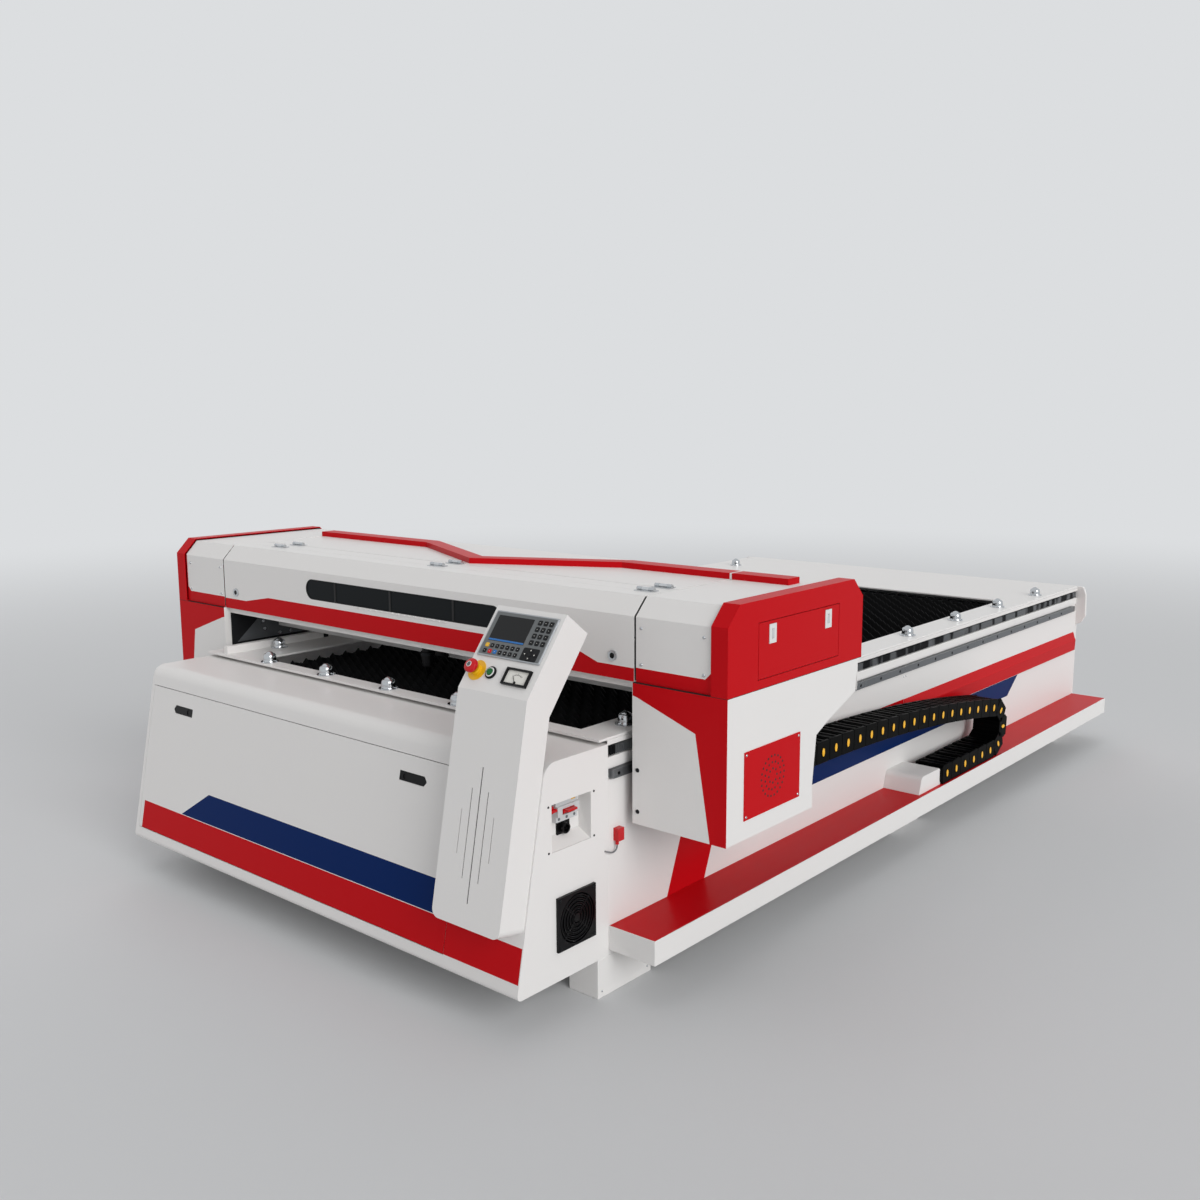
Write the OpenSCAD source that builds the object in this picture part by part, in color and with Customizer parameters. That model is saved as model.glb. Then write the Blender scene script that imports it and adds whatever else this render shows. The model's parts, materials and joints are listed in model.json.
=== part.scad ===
// Moving-gantry laser engraving and cutting machine.
// Frame: X across the bed, Y from the front cabinet to the rear, Z up.
// The origin is on the floor, at the centre of the machine's footprint box.
// Sizes along Y are counted from the seam between the front cabinet and the bed,
// and heights from the underside of the cabinet, until in_place() moves them.

/* [Overall] */
// Width of the bed and of the front cabinet
bed_w = 1900; // [1500:10:2300]
// Length of the bed frame behind the cabinet
bed_l = 3545; // [2900:5:4300]
// Height of the feet
foot_h = 115; // [60:1:180]
// Height of the bed's top face above the underside
bed_h = 621; // [520:1:720]

/* [Bed frame] */
// Thickness of the box-section side beams
beam_w = 60; // [40:1:90]
// Thickness of structural sheet
sheet_t = 4; // [3:0.5:6]
// Thickness of the bed's top plate
plate_t = 8; // [5:1:12]
// Left margin from the bed's edge to the work opening
margin_left = 270; // [150:5:400]
// Right margin from the bed's edge to the work opening
margin_right = 117; // [90:1:300]
// Front edge of the work opening
open_front = 22; // [15:1:80]
// Depth of the deck behind the work opening
rear_deck = 651; // [300:1:900]
// Overhang of the top plate over the front cabinet
plate_lip = 34; // [10:1:60]
// Thickness of the rear wall
rear_wall_t = 17; // [8:1:30]
// Width of a foot
foot_w = 108; // [80:1:150]
// Length of a foot
foot_l = 234; // [120:1:300]
// How far the front feet reach under the cabinet
foot_front = 46; // [0:1:100]

/* [Guides and racks] */
// Height of the guide rail's centre
rail_z = 519; // [480:1:530]
// Width of a guide rail
rail_w = 24; // [15:1:30]
// Depth of a guide rail
rail_h = 20; // [14:1:26]
// Depth of the rail's slot in the side beam
rail_slot = 6; // [3:1:10]
// Height of the rack's centre
rack_z = 582; // [565:1:590]
// Height of the rack bar
rack_w = 25; // [15:1:28]
// Tooth module of the rack and pinion
tooth_m = 2.5; // [2:0.5:3]
// Number of teeth on the drive pinion
pinion_n = 16; // [14:1:20]
// Backlash between the rack and the pinion
backlash = 0.3; // [0.2:0.1:0.6]

/* [Blades and rollers] */
// Pitch of the saw-tooth blades
blade_pitch = 59; // [45:1:90]
// Thickness of a blade
blade_t = 3; // [2:0.5:5]
// Height of a blade
blade_h = 80; // [60:1:110]
// Depth of a blade's tips below the bed's top face
blade_drop = 15; // [9:1:30]
// Pitch of the teeth along a blade
tooth_pitch = 50; // [40:1:80]
// Depth of a blade's teeth
tooth_d = 24; // [12:1:35]
// Diameter of a ball transfer's flange
ball_flange_d = 62; // [50:1:75]
// Diameter of a transfer ball
ball_d = 30; // [25:1:32]
// Height of a ball transfer
ball_top = 38; // [34:1:42]
// Pitch of the ball transfers along the sides
ball_pitch = 428.7; // [300:0.1:600]

/* [Cabinet] */
// Depth of the front cabinet at its foot
cab_d = 363; // [300:1:450]
// Height of the front cabinet
cab_h = 603; // [520:1:612]
// Backward lean of the front face, in degrees
cab_lean = 11; // [5:0.5:14]
// Radius of the cabinet's top front edge
cab_r = 45; // [20:1:60]
// Thickness of cabinet and cover sheet
skin_t = 2.5; // [1.5:0.1:4]
// Width of the cabinet's front door
door_w = 1594; // [1200:1:1600]
// Distance from the cabinet's left side to the door
door_left = 18; // [12:1:60]
// Height of the door's lower edge, along the slope
door_low = 45; // [30:1:80]
// Height of the door's upper edge, along the slope
door_high = 546; // [480:1:550]
// Depth of the door's folded edges
door_fold = 18; // [14:1:30]
// Radius of the front door's hinge pins
door_pin_r = 3; // [2:0.5:3]
// Width of a door pull
pull_w = 113; // [80:1:140]
// Height of a door pull
pull_h = 27; // [20:1:40]
// Distance of each pull from the door's centre
pull_x = 598; // [400:1:640]
// Side of the square ventilation fan
fan_w = 150; // [120:1:170]
// Distance of the fan's centre in front of the bed seam
fan_y = 137; // [110:1:150]
// Height of the fan's centre
fan_z = 158; // [110:1:180]
// Width of the power recess
recess_w = 154; // [120:1:170]
// Height of the power recess
recess_h = 130; // [110:1:150]
// Depth of the power recess
recess_d = 45; // [35:1:60]
// Distance of the recess's centre in front of the bed seam
recess_y = 148; // [120:1:160]
// Height of the recess's centre
recess_z = 425; // [380:1:440]

/* [Console] */
// Width of the console
con_w = 250; // [200:1:300]
// Distance of the console from the cabinet's right side
con_side = 5; // [0:1:40]
// Depth of the console's column in front of the cabinet
con_d = 92; // [70:1:120]
// Height of the column's lower front edge
con_low = 185; // [120:1:260]
// Height of the bend below the control face
con_bend = 779; // [720:1:840]
// Length of the tilted control face
con_face = 249; // [220:1:300]
// Tilt of the control face, in degrees
con_tilt = 52.4; // [40:0.1:65]
// Thickness of the console's head
con_head = 99; // [80:1:130]
// Width of the controller
panel_w = 225; // [180:1:230]
// Height of the controller
panel_h = 135; // [100:1:140]
// Diameter of a button's mounting hole
button_hole = 22.4; // [16:0.1:30]
// Width of the ammeter
meter_w = 86; // [60:1:90]
// Height of the ammeter
meter_h = 47; // [40:1:56]
// Travel of the buttons
button_travel = 4; // [2:0.5:6]

/* [Shelf and cable chain] */
// Width of the shelf beside the bed
shelf_w = 162; // [120:1:220]
// Height of the shelf's lower edge
shelf_low = 15; // [0:1:40]
// Height of the shelf's top face
shelf_top = 86; // [60:1:120]
// Width of the cable chain
chain_w = 114; // [80:1:120]
// Height of a chain link
link_h = 72; // [50:1:80]
// Pitch of the chain links
link_pitch = 80; // [50:1:100]
// Bend radius of the chain
chain_r = 85; // [70:1:110]
// Place of the chain's fixed end, from the seam
chain_fixed = 1765; // [1400:5:2000]
// Place of the chain's moving end, from the seam
chain_moving = 600; // [580:5:700]
// Place of the centre of the chain's bend, from the seam
chain_bend = 2235; // [2000:5:2500]
// Height of the chain's moving end
chain_high = 412; // [395:1:440]

/* [Gantry] */
// Front face of the gantry, from the seam, at rest
gan_front = 64; // [50:1:100]
// Depth of the gantry
gan_d = 691; // [600:1:760]
// Half width over the end caps
gan_half = 1293; // [1200:1:1500]
// Underside of the covers
gan_low = 767; // [740:1:820]
// Height of the covers
gan_h = 237; // [200:1:300]
// Height of the chamfer along the top edges
gan_chamfer_h = 54; // [20:1:80]
// Depth of the chamfer along the top edges
gan_chamfer_d = 53; // [20:1:80]
// Width of an end cap
cap_w = 52; // [35:1:80]
// How far the caps stand proud of the covers
cap_proud = 8; // [3:1:14]
// Gap between a leg and the side of the bed
leg_gap = 33; // [30:1:45]
// Height of the leg's lower edge
leg_low = 372; // [368:1:420]
// Thickness of the leg's inner plate
leg_plate = 6; // [4:1:10]
// Depth of the transverse beam
cross_d = 120; // [80:1:160]
// Height of the transverse beam
cross_h = 190; // [150:1:200]
// Underside of the transverse beam
cross_low = 668; // [664:1:690]
// Front face of the transverse beam, from the seam
cross_y = 300; // [290:1:330]
// Width of the lift-up access doors in the caps
hatch_w = 412; // [300:1:460]
// Height of the access doors
hatch_h = 150; // [100:1:160]
// Length of the viewing window
window_l = 956; // [600:1:1400]
// Height of the viewing window
window_h = 70; // [50:1:90]
// Height of the window's centre
window_z = 885; // [865:1:900]
// Front lid's hinge line, from the seam
hinge_front = 188; // [170:1:200]
// Rear lid's hinge line, from the seam
hinge_rear = 268; // [250:1:285]
// Radius of a hinge knuckle
knuckle_r = 6; // [5:0.5:8]
// Radius of a hinge pin
pin_r = 2.5; // [2:0.1:3]

/* [Laser] */
// Diameter of the laser tube
tube_d = 80; // [60:1:90]
// Length of the laser tube
tube_l = 1700; // [1200:10:1760]
// Diameter of the lens barrel
barrel_d = 38; // [30:1:50]
// Height of the nozzle's tip above the bed
nozzle_gap = 6; // [3:1:20]
// Distance from the beam's face to the lens axis
lens_reach = 100; // [90:1:120]
// Radius of the belt pulleys
pulley_r = 18; // [12:1:22]
// Thickness of the belt
belt_t = 2; // [1.5:0.5:3]
// Width of the belt
belt_w = 15; // [9:1:17]

/* [Clearances] */
// Radial clearance of a shaft or pin in its hole
run_gap = 0.08; // [0.03:0.01:0.1]
// Clearance between faces that slide past each other
slide_gap = 0.3; // [0.2:0.05:0.6]
// Gap around doors and lids
door_gap = 2; // [1:0.5:4]
// Gap around inserts that move in a cut-out
insert_gap = 0.6; // [0.4:0.1:0.9]

/* [Hidden] */
$fn = 48;

half_w = bed_w / 2;
eps = 0.01;

// Ends of the machine along Y, which set where the frame's origin lies
rear_y = bed_l + rear_wall_t;
front_y = cab_front(con_low) - con_d;
mid_y = (rear_y + front_y) / 2;

// Work opening in the bed
open_left = -half_w + margin_left;
open_right = half_w - margin_right;
open_rear = bed_l - rear_deck;
plate_low = bed_h - plate_t;

// Blades
blade_top = bed_h - blade_drop;
blade_low = blade_top - blade_h;
blade_over = 18;
blade_first = open_front + 24;
blade_n = floor((open_rear - 15 - blade_first) / blade_pitch) + 1;
ledge_w = 40;
tube_s = 60;

// Front face of the cabinet: Y at a height
function cab_front(z) = -cab_d + z * tan(cab_lean);
slope_tilt = 90 - cab_lean;
door_x0 = -half_w + door_left;
door_x1 = door_x0 + door_w;
door_mid = (door_x0 + door_x1) / 2;
door_axis_s = door_low + 8;
door_axis_o = -6;

// Guides
rail_base = half_w - rail_slot;
rail_face = rail_base + rail_h;
rail_z0 = rail_z - rail_w / 2;
slot_gap = 4;
rack_top_x = half_w - 0.5;
rack_pitch = PI * tooth_m;
addendum = 0.8 * tooth_m;
dedendum = 1.1 * tooth_m;
pinion_r = pinion_n * tooth_m / 2;
pinion_x = rack_top_x - addendum + pinion_r;
rack_depth = 12;
rack_y0 = 6;
leg_x = half_w + leg_gap;
block_under = half_w + 1;
block_w = 52;
block_l = 90;
block_ys = [160, 620];

// Gantry
gan_rear = gan_front + gan_d;
gan_top = gan_low + gan_h;
gan_bend = gan_top - gan_chamfer_h;
cap_in = gan_half - cap_w;
lid_x = leg_x - 1;
cover_top = gan_top - cap_proud;
spine_t = 6;
spine_y0 = hinge_front + door_gap;
spine_y1 = hinge_rear - door_gap;
knuckle_z = cover_top + knuckle_r;
hinge_l = 60;
hinge_xs = [-786, 73, 932] * lid_x / 982;
hatch_y0 = 205;
hatch_z0 = gan_low + 26;
hatch_fold = 14;
hatch_pin_r = 2;
hatch_axis_x = gan_half - 6;
hatch_axis_z = hatch_z0 + 8;
lock_r = 11;
lock_x = 908 * lid_x / 982;
lock_z = gan_low + 63;
sill_y = gan_front + cap_proud + 18;
sill_top = gan_low + 33;
sill_low = gan_low - 22;

// Cross beam, head and belt
cross_top = cross_low + cross_h;
cross_rear = cross_y + cross_d;
xrail_z = cross_low + 84;
xrail_half = leg_x - 25;
lens_y = cross_y - lens_reach;
carriage_y = cross_y - rail_h - 10;
head_plate_t = 10;
belt_z = cross_low + 150;
belt_y = cross_y - 30;
pulley_x = leg_x - 58;
shaft_r = 5;
motor_s = 60;
nozzle_tip = bed_h + nozzle_gap;

// Laser tube
deck_z = gan_low + 8;
tube_y = (cross_rear + gan_rear) / 2 - 15;
tube_z = deck_z + 110;
mount_x = tube_l / 2 - 260;

// Y drive
motor_window = motor_s / 2 + 6;
motor_y = cross_rear + motor_window + 38;
motor_z = cross_low;
mount_t = 6;
drive_shaft_r = 6;

// Console
con_x1 = half_w - con_side;
con_x0 = con_x1 - con_w;
con_mid = (con_x0 + con_x1) / 2;
function con_front(z) = cab_front(z) - con_d;
panel_s = 98 + panel_h / 2;
button_s = 55;
estop_x = con_x0 + 38;
start_x = con_x0 + 90;
meter_x = con_x1 - 65;
meter_s = 54;
controller_t = 5;
bezel_t = 4;
collar_h = 14;
start_h = 10;
meter_t = 8;
meter_pivot = meter_s - meter_h / 2 + 9;

// Fan
fan_r = fan_w / 2 - 7;
fan_depth = 45;
hub_r = 24;
guard_t = 8;
axle_r = 3;

// Chain: lower run, bend and sagging upper run, as a row of joint points
chain_x1 = half_w + 154;
chain_x0 = chain_x1 - chain_w;
chain_z0 = shelf_top + link_h / 2 + slide_gap;
bend_z = chain_z0 + chain_r;
upper_z = bend_z + chain_r;
sag_start = chain_moving + 200;
function upper_run(y) = chain_high
    - (chain_high - upper_z) * pow(max(0, y - sag_start) / (chain_bend - sag_start), 2);
low_n = round((chain_bend - chain_fixed) / link_pitch);
bend_n = round(PI * chain_r / link_pitch) * 2;
up_n = round((chain_bend - chain_moving) / link_pitch);
chain_path = concat(
    [for (i = [0:low_n]) [chain_fixed + (chain_bend - chain_fixed) * i / low_n, chain_z0]],
    [for (i = [1:bend_n - 1]) let (a = -90 + 180 * i / bend_n)
        [chain_bend + chain_r * cos(a), bend_z + chain_r * sin(a)]],
    [for (i = [0:up_n]) let (y = chain_bend - (chain_bend - chain_moving) * i / up_n) [y, upper_run(y)]]);

// Lead of the limit switch, from its gland to the hole in the cabinet's side
switch_y = 34;
switch_low = 326;
switch_h = 36;
switch_w = 25;
switch_d = 18;
gland_h = 10;
gland_r = 5;
lead_r = 2.5;
lead_route = [[959, 27, 316], [959, 27, 310], [959, 25, 304.5], [959, 20.5, 300], [959, 14, 297.6],
    [959, 6.5, 297.6], [959, 0, 299.5], [958.7, -6, 302], [957.5, -10.8, 303.8], [954.6, -13.8, 304.8],
    [951.5, -15, 305], [950, -15, 305]];

// ---------------------------------------------------------------- helpers

function unit(v) = v / norm(v);
function inward(a, b) = let (d = unit(b - a)) [-d.y, d.x];

// Anticlockwise outline moved inwards by d
function inset(pts, d) = let (n = len(pts)) [for (i = [0:n - 1])
    let (p = pts[i], m = inward(pts[(i + n - 1) % n], p), k = inward(p, pts[(i + 1) % n]))
    p + (m + k) * d / (1 + m * k)];

// Arc that rounds the corner at b between a and c
function corner(a, b, c, r, n = 8) = let (
    u = unit(a - b), v = unit(c - b), h = acos(u * v) / 2,
    mid = b + unit(u + v) * r / sin(h), p = b + u * r / tan(h), q = b + v * r / tan(h),
    a0 = atan2(p.y - mid.y, p.x - mid.x), a1 = atan2(q.y - mid.y, q.x - mid.x),
    turn = a1 - a0 > 180 ? a1 - a0 - 360 : a1 - a0 < -180 ? a1 - a0 + 360 : a1 - a0)
    [for (i = [0:n]) mid + r * [cos(a0 + turn * i / n), sin(a0 + turn * i / n)]];

module in_place() {
    translate([0, -mid_y, foot_h]) children();
}

module box(x0, x1, y0, y1, z0, z1) {
    translate([x0, y0, z0]) cube([x1 - x0, y1 - y0, z1 - z0]);
}

// A Y-Z outline extruded along X
module along_x(x0, x1) {
    translate([x0, 0, 0]) rotate([90, 0, 90]) linear_extrude(x1 - x0) children();
}

// An X-Z outline extruded along Y
module along_y(y0, y1) {
    translate([0, y1, 0]) rotate([90, 0, 0]) linear_extrude(y1 - y0) children();
}

// An X-Y outline extruded along Z
module along_z(z0, z1) {
    translate([0, 0, z0]) linear_extrude(z1 - z0) children();
}

module rod_x(x0, x1, y, z, r) {
    translate([x0, y, z]) rotate([0, 90, 0]) cylinder(h = x1 - x0, r = r);
}

module rod_y(y0, y1, x, z, r) {
    translate([x, y1, z]) rotate([90, 0, 0]) cylinder(h = y1 - y0, r = r);
}

module both_sides() {
    children();
    mirror([1, 0, 0]) children();
}

// Local frame on the cabinet's front face: x, up the slope, outwards
module on_front(x, s) {
    translate([x, -cab_d, 0]) rotate([slope_tilt, 0, 0]) translate([0, s, 0]) children();
}

// Local frame on the console's control face: x, up the face, outwards
module on_console(x, s) {
    translate([x, con_front(con_bend), con_bend]) rotate([con_tilt, 0, 0]) translate([0, s, 0]) children();
}

// ---------------------------------------------------------------- outlines

cab_outline = let (
    p = [cab_front(0), 0], q = [cab_front(cab_h), cab_h], back = [0, cab_h], heel = [0, 0])
    concat(corner(heel, p, q, 14, 4), corner(p, q, back, cab_r, 10), [back, heel]);
cab_ccw = [for (i = [len(cab_outline) - 1:-1:0]) cab_outline[i]];

con_outline = let (
    a = [con_front(con_low), con_low],
    b = [cab_front(con_low - 17) - slide_gap, con_low - 17],
    f = [con_front(con_bend), con_bend],
    e = f + con_face * [cos(con_tilt), sin(con_tilt)],
    d = e + con_head * [sin(con_tilt), -cos(con_tilt)],
    m = tan(cab_lean),
    k = (d.x - (cab_front(0) - slide_gap) - m * d.y) / (cos(con_tilt) - m * sin(con_tilt)),
    g = d - k * [cos(con_tilt), sin(con_tilt)])
    [a, b, g, d, e, f];

// Outline of the gantry's covers, drawn in by p from the caps
function cover_outline(p = 0) = [
    [gan_front + p, gan_low], [gan_rear - p, gan_low], [gan_rear - p, gan_bend - p / 2],
    [gan_rear - gan_chamfer_d - p / 2, gan_top - p], [gan_front + gan_chamfer_d + p / 2, gan_top - p],
    [gan_front + p, gan_bend - p / 2]];

// Skirt of the right leg, cut away where the cable chain comes out
skirt_outline = [[gan_front, leg_low], [gan_front + 428, leg_low], [gan_front + 425, leg_low + 67],
    [gan_front + 443, leg_low + 209], [gan_front + 511, leg_low + 240], [gan_front + 661, leg_low + 297],
    [gan_front + 671, gan_low - 8], [gan_rear, gan_low], [gan_front, gan_low]];

// ---------------------------------------------------------------- bed

// Section of the right side beam: a box with slots for the rack and the rail
module side_section() {
    x0 = half_w - beam_w;
    outer = half_w - sheet_t;
    rail_floor = rail_base - sheet_t;
    rack_floor = rack_top_x - addendum - dedendum - rack_depth - sheet_t;
    s0 = rail_z0 - slot_gap;
    s1 = rail_z0 + rail_w + slot_gap;
    r0 = rack_z - rack_w / 2 - slot_gap;
    r1 = rack_z + rack_w / 2 + slot_gap;
    translate([x0, 0]) square([sheet_t, plate_low]);
    translate([x0, 0]) square([beam_w, sheet_t]);
    translate([x0, plate_low - sheet_t]) square([beam_w, sheet_t]);
    translate([outer, 0]) square([sheet_t, s0]);
    translate([outer, s1]) square([sheet_t, r0 - s1]);
    translate([outer, r1]) square([sheet_t, plate_low - r1]);
    translate([rail_floor, s0 - sheet_t]) square([sheet_t, s1 - s0 + 2 * sheet_t]);
    translate([rail_floor, s0 - sheet_t]) square([half_w - rail_floor, sheet_t]);
    translate([rail_floor, s1]) square([half_w - rail_floor, sheet_t]);
    translate([rack_floor, r0 - sheet_t]) square([sheet_t, r1 - r0 + 2 * sheet_t]);
    translate([rack_floor, r0 - sheet_t]) square([half_w - rack_floor, sheet_t]);
    translate([rack_floor, r1]) square([half_w - rack_floor, sheet_t]);
}

module bed_sides() {
    color("white") in_place() both_sides() along_y(0, bed_l) side_section();
}

module bed_rear_wall() {
    ear = 44;
    ear_low = 433;
    color("white") in_place() along_y(bed_l, rear_y) polygon(concat(
        [[-half_w, 0], [half_w, 0]],
        [[half_w, ear_low], [half_w + ear - 17, ear_low + 13], [half_w + ear, ear_low + 47],
            [half_w + ear - 2, bed_h - 38], [half_w + ear - 14, bed_h - 6], [half_w + ear - 24, bed_h]],
        [[-half_w - ear + 24, bed_h], [-half_w - ear + 14, bed_h - 6], [-half_w - ear + 2, bed_h - 38],
            [-half_w - ear, ear_low + 47], [-half_w - ear + 17, ear_low + 13], [-half_w, ear_low]]));
}

// Cross tubes, blade ledges and the scrap tray
module bed_underframe() {
    inner = half_w - beam_w;
    tube_z0 = blade_low - sheet_t - tube_s;
    tray_z = 100;
    step = (bed_l - 2 * 200) / 4;
    color("dimgray") in_place() {
        for (i = [0:4]) translate([0, 200 + i * step, 0]) difference() {
            box(-inner, inner, -tube_s / 2, tube_s / 2, tube_z0, tube_z0 + tube_s);
            box(-inner - 1, inner + 1, -tube_s / 2 + sheet_t, tube_s / 2 - sheet_t,
                tube_z0 + sheet_t, tube_z0 + tube_s - sheet_t);
        }
        for (x = [open_left - blade_over - 4, open_right + blade_over + 4 - ledge_w])
            box(x, x + ledge_w, 2, open_rear + 40, blade_low - sheet_t, blade_low);
        box(-inner, inner, 2, bed_l - 2, tray_z, tray_z + sheet_t);
    }
}

// Top plate, with a stop bar for the sheet at its front left
module bed_plate() {
    bar_x = ball_left - ball_flange_d / 2 - bar_gap;
    color("gainsboro") in_place() {
        along_z(plate_low, bed_h) difference() {
            translate([-half_w, -plate_lip]) square([bed_w, bed_l + plate_lip]);
            translate([open_left, open_front]) square([open_right - open_left, open_rear - open_front]);
        }
        box(bar_x - bar_w, bar_x, bar_inset - plate_lip, bar_end, bed_h - eps, bed_h + bar_h);
    }
}

// One saw-tooth blade; its ends run under the top plate
module blade() {
    x0 = open_left - blade_over;
    x1 = open_right + blade_over;
    n = floor((open_right - open_left - 20) / tooth_pitch);
    start = (open_left + open_right - n * tooth_pitch) / 2;
    along_y(-blade_t / 2, blade_t / 2) polygon(concat(
        [[x0, blade_low], [x1, blade_low], [x1, blade_top - tooth_d - 2],
            [start + n * tooth_pitch, blade_top - tooth_d]],
        [for (i = [n - 1:-1:0]) each [[start + (i + 0.5) * tooth_pitch, blade_top],
            [start + i * tooth_pitch, blade_top - tooth_d]]],
        [[x0, blade_top - tooth_d - 2]]));
}

module blades() {
    color("black") in_place() for (i = [0:blade_n - 1])
        translate([0, blade_first + i * blade_pitch, 0]) blade();
}

// A ball in a flanged cup, standing on the bed plate
module ball_transfer() {
    cup_r = ball_d / 2 + 6;
    ball_z = ball_top - ball_d / 2;
    difference() {
        union() {
            cylinder(h = 3, r = ball_flange_d / 2);
            cylinder(h = ball_z + 2, r = cup_r);
        }
        translate([0, 0, ball_z]) sphere(r = ball_d / 2 + run_gap);
        translate([0, 0, ball_z + 2 - eps]) cylinder(h = ball_d, r = cup_r + 1);
    }
    translate([0, 0, ball_z]) sphere(r = ball_d / 2);
}

ball_left = -half_w + 145;
bar_w = 25;
bar_gap = 1;
bar_inset = 12;
bar_h = 27;
bar_end = 402;
side_ball_n = floor((bed_l - 142) / ball_pitch) + 1;
front_ball_n = 5;
ball_places = concat(
    [for (i = [0:front_ball_n - 1]) [-606 + 322 * i, -1]],
    [for (i = [0:side_ball_n - 1]) [half_w - 55, 142 + i * ball_pitch]],
    [for (i = [0:side_ball_n - 1]) [ball_left, 176 + i * ball_pitch]]);

module ball_transfers() {
    color("silver") in_place() for (p = ball_places) translate([p.x, p.y, bed_h]) ball_transfer();
}

module feet() {
    ys = [-foot_front, (bed_l - foot_l) / 2, bed_l - foot_l];
    wall = 5;
    color("whitesmoke") in_place() for (y = ys) both_sides() difference() {
        box(half_w - foot_w, half_w, y, y + foot_l, -foot_h, 0);
        box(half_w - foot_w + wall, half_w - wall, y + wall, y + foot_l - wall, -foot_h + wall, 1);
    }
}

module y_rails() {
    holes = 24;
    step = (bed_l - 120) / (holes - 1);
    color("silver") in_place() both_sides() difference() {
        box(rail_base, rail_face, 8, bed_l - 60, rail_z0, rail_z0 + rail_w);
        for (i = [0:holes - 2]) rod_x(rail_face - 9, rail_face + 1, 30 + i * step, rail_z, 5.5);
    }
}

// Rack with its teeth facing away from the bed
module y_racks() {
    flank = tan(20);
    root = rack_top_x - addendum - dedendum;
    n = floor((bed_l - 8 - rack_y0) / rack_pitch) - 1;
    half = rack_pitch / 4 - backlash / 2;
    tip = half - addendum * flank;
    foot = half + dedendum * flank;
    y0 = tooth_y0();
    color("dimgray") in_place() both_sides() along_z(rack_z - rack_w / 2, rack_z + rack_w / 2) polygon(concat(
        [[root - rack_depth, rack_y0], [root, rack_y0]],
        [for (i = [0:n - 1]) let (y = y0 + i * rack_pitch) each [
            [root, y - foot], [rack_top_x, y - tip], [rack_top_x, y + tip], [root, y + foot]]],
        [[root, bed_l - 8], [root - rack_depth, bed_l - 8]]));
}

// First tooth, placed so that one tooth lies level with the pinion's axis
function tooth_y0() = let (k = floor((motor_y - rack_y0 - rack_pitch) / rack_pitch)) motor_y - k * rack_pitch;

module side_mouldings() {
    y0 = bed_l / 2 - 39;
    color("red") in_place() both_sides() along_y(y0, bed_l - 22) polygon([[half_w, 310], [half_w + 12, 310],
        [half_w + 14, 361], [half_w + 11, 366], [half_w, 400]]);
}

// ---------------------------------------------------------------- cabinet

module cabinet_shell() {
    color("whitesmoke") in_place() difference() {
        along_x(-half_w + skin_t, half_w - skin_t) difference() {
            polygon(cab_ccw);
            polygon(inset(cab_ccw, skin_t));
        }
        on_front(0, 0)
            box(door_x0 - door_gap, door_x1 + door_gap, door_low - door_gap, door_high + door_gap, -10, 10);
    }
    color("whitesmoke") in_place() on_front(0, 0) door_lugs();
}

// Lugs behind the opening's lower corners, each with a stub pin for the door
module door_lugs() {
    lug_w = 6;
    for (x = [door_x0 - door_gap - lug_w, door_x1 + door_gap])
        box(x, x + lug_w, door_low, door_low + 16, -14, -skin_t + eps);
    rod_x(door_x0 - door_gap - 1, door_x0 + skin_t + 3, door_axis_s, door_axis_o, door_pin_r);
    rod_x(door_x1 - skin_t - 3, door_x1 + door_gap + 1, door_axis_s, door_axis_o, door_pin_r);
}

module cabinet_sides() {
    cut_y = -recess_y;
    color("white") in_place() {
        along_x(-half_w, -half_w + skin_t) polygon(cab_ccw);
        difference() {
            along_x(half_w - skin_t, half_w) polygon(cab_ccw);
            box(half_w - 10, half_w + 1, cut_y - recess_w / 2, cut_y + recess_w / 2,
                recess_z - recess_h / 2, recess_z + recess_h / 2);
            rod_x(half_w - 10, half_w + 1, -fan_y, fan_z, fan_r + 1);
            for (dy = [-1, 1], dz = [-1, 1])
                rod_x(half_w - 10, half_w + 1,
                    cut_y + dy * (recess_w / 2 + 12), recess_z + dz * (recess_h / 2 - 3), 2.5);
        }
    }
}

// Recess tray behind the right side sheet
module power_panel() {
    t = 2;
    lip = 18;
    face = half_w - skin_t;
    w = recess_w / 2;
    h = recess_h / 2;
    color("white") in_place() translate([0, -recess_y, recess_z]) difference() {
        union() {
            box(face - t, face, -w - lip, w + lip, -h - 8, h + 8);
            box(face - recess_d, face, -w - t, w + t, -h - t, h + t);
        }
        box(face - recess_d + t, face + 1, -w, w, -h, h);
        for (dy = [-1, 1], dz = [-1, 1]) rod_x(face - t - 1, face + 1, dy * (w + 12), dz * (h - 3), 2.5);
        translate([face - recess_d - 1, 12, -27]) rotate([0, 90, 0]) cylinder(h = t + 2, r = 16);
    }
}

breaker_y = -recess_y + 6;
breaker_z = recess_z + 32;
toggle_z = breaker_z - 4;
breaker_face = half_w - skin_t - recess_d + 2 + 30;

module breaker() {
    back = half_w - skin_t - recess_d + 2;
    color("lightgray") in_place() difference() {
        union() {
            box(back, breaker_face - 8, breaker_y - 42, breaker_y + 42, breaker_z - 32, breaker_z + 32);
            box(breaker_face - 8, breaker_face, breaker_y - 42, breaker_y + 42,
                breaker_z - 16, breaker_z + 12);
        }
        rod_y(breaker_y - 24, breaker_y + 24, breaker_face - 4, toggle_z, 9);
        box(breaker_face - 14, breaker_face + 1, breaker_y - 24, breaker_y + 24, toggle_z - 8, toggle_z + 8);
    }
    color("lightgray") in_place()
        for (y = [breaker_y - 12, breaker_y + 12]) rod_y(y - 12.2, y + 12.2, breaker_face - 4, toggle_z, 2);
}

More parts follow.
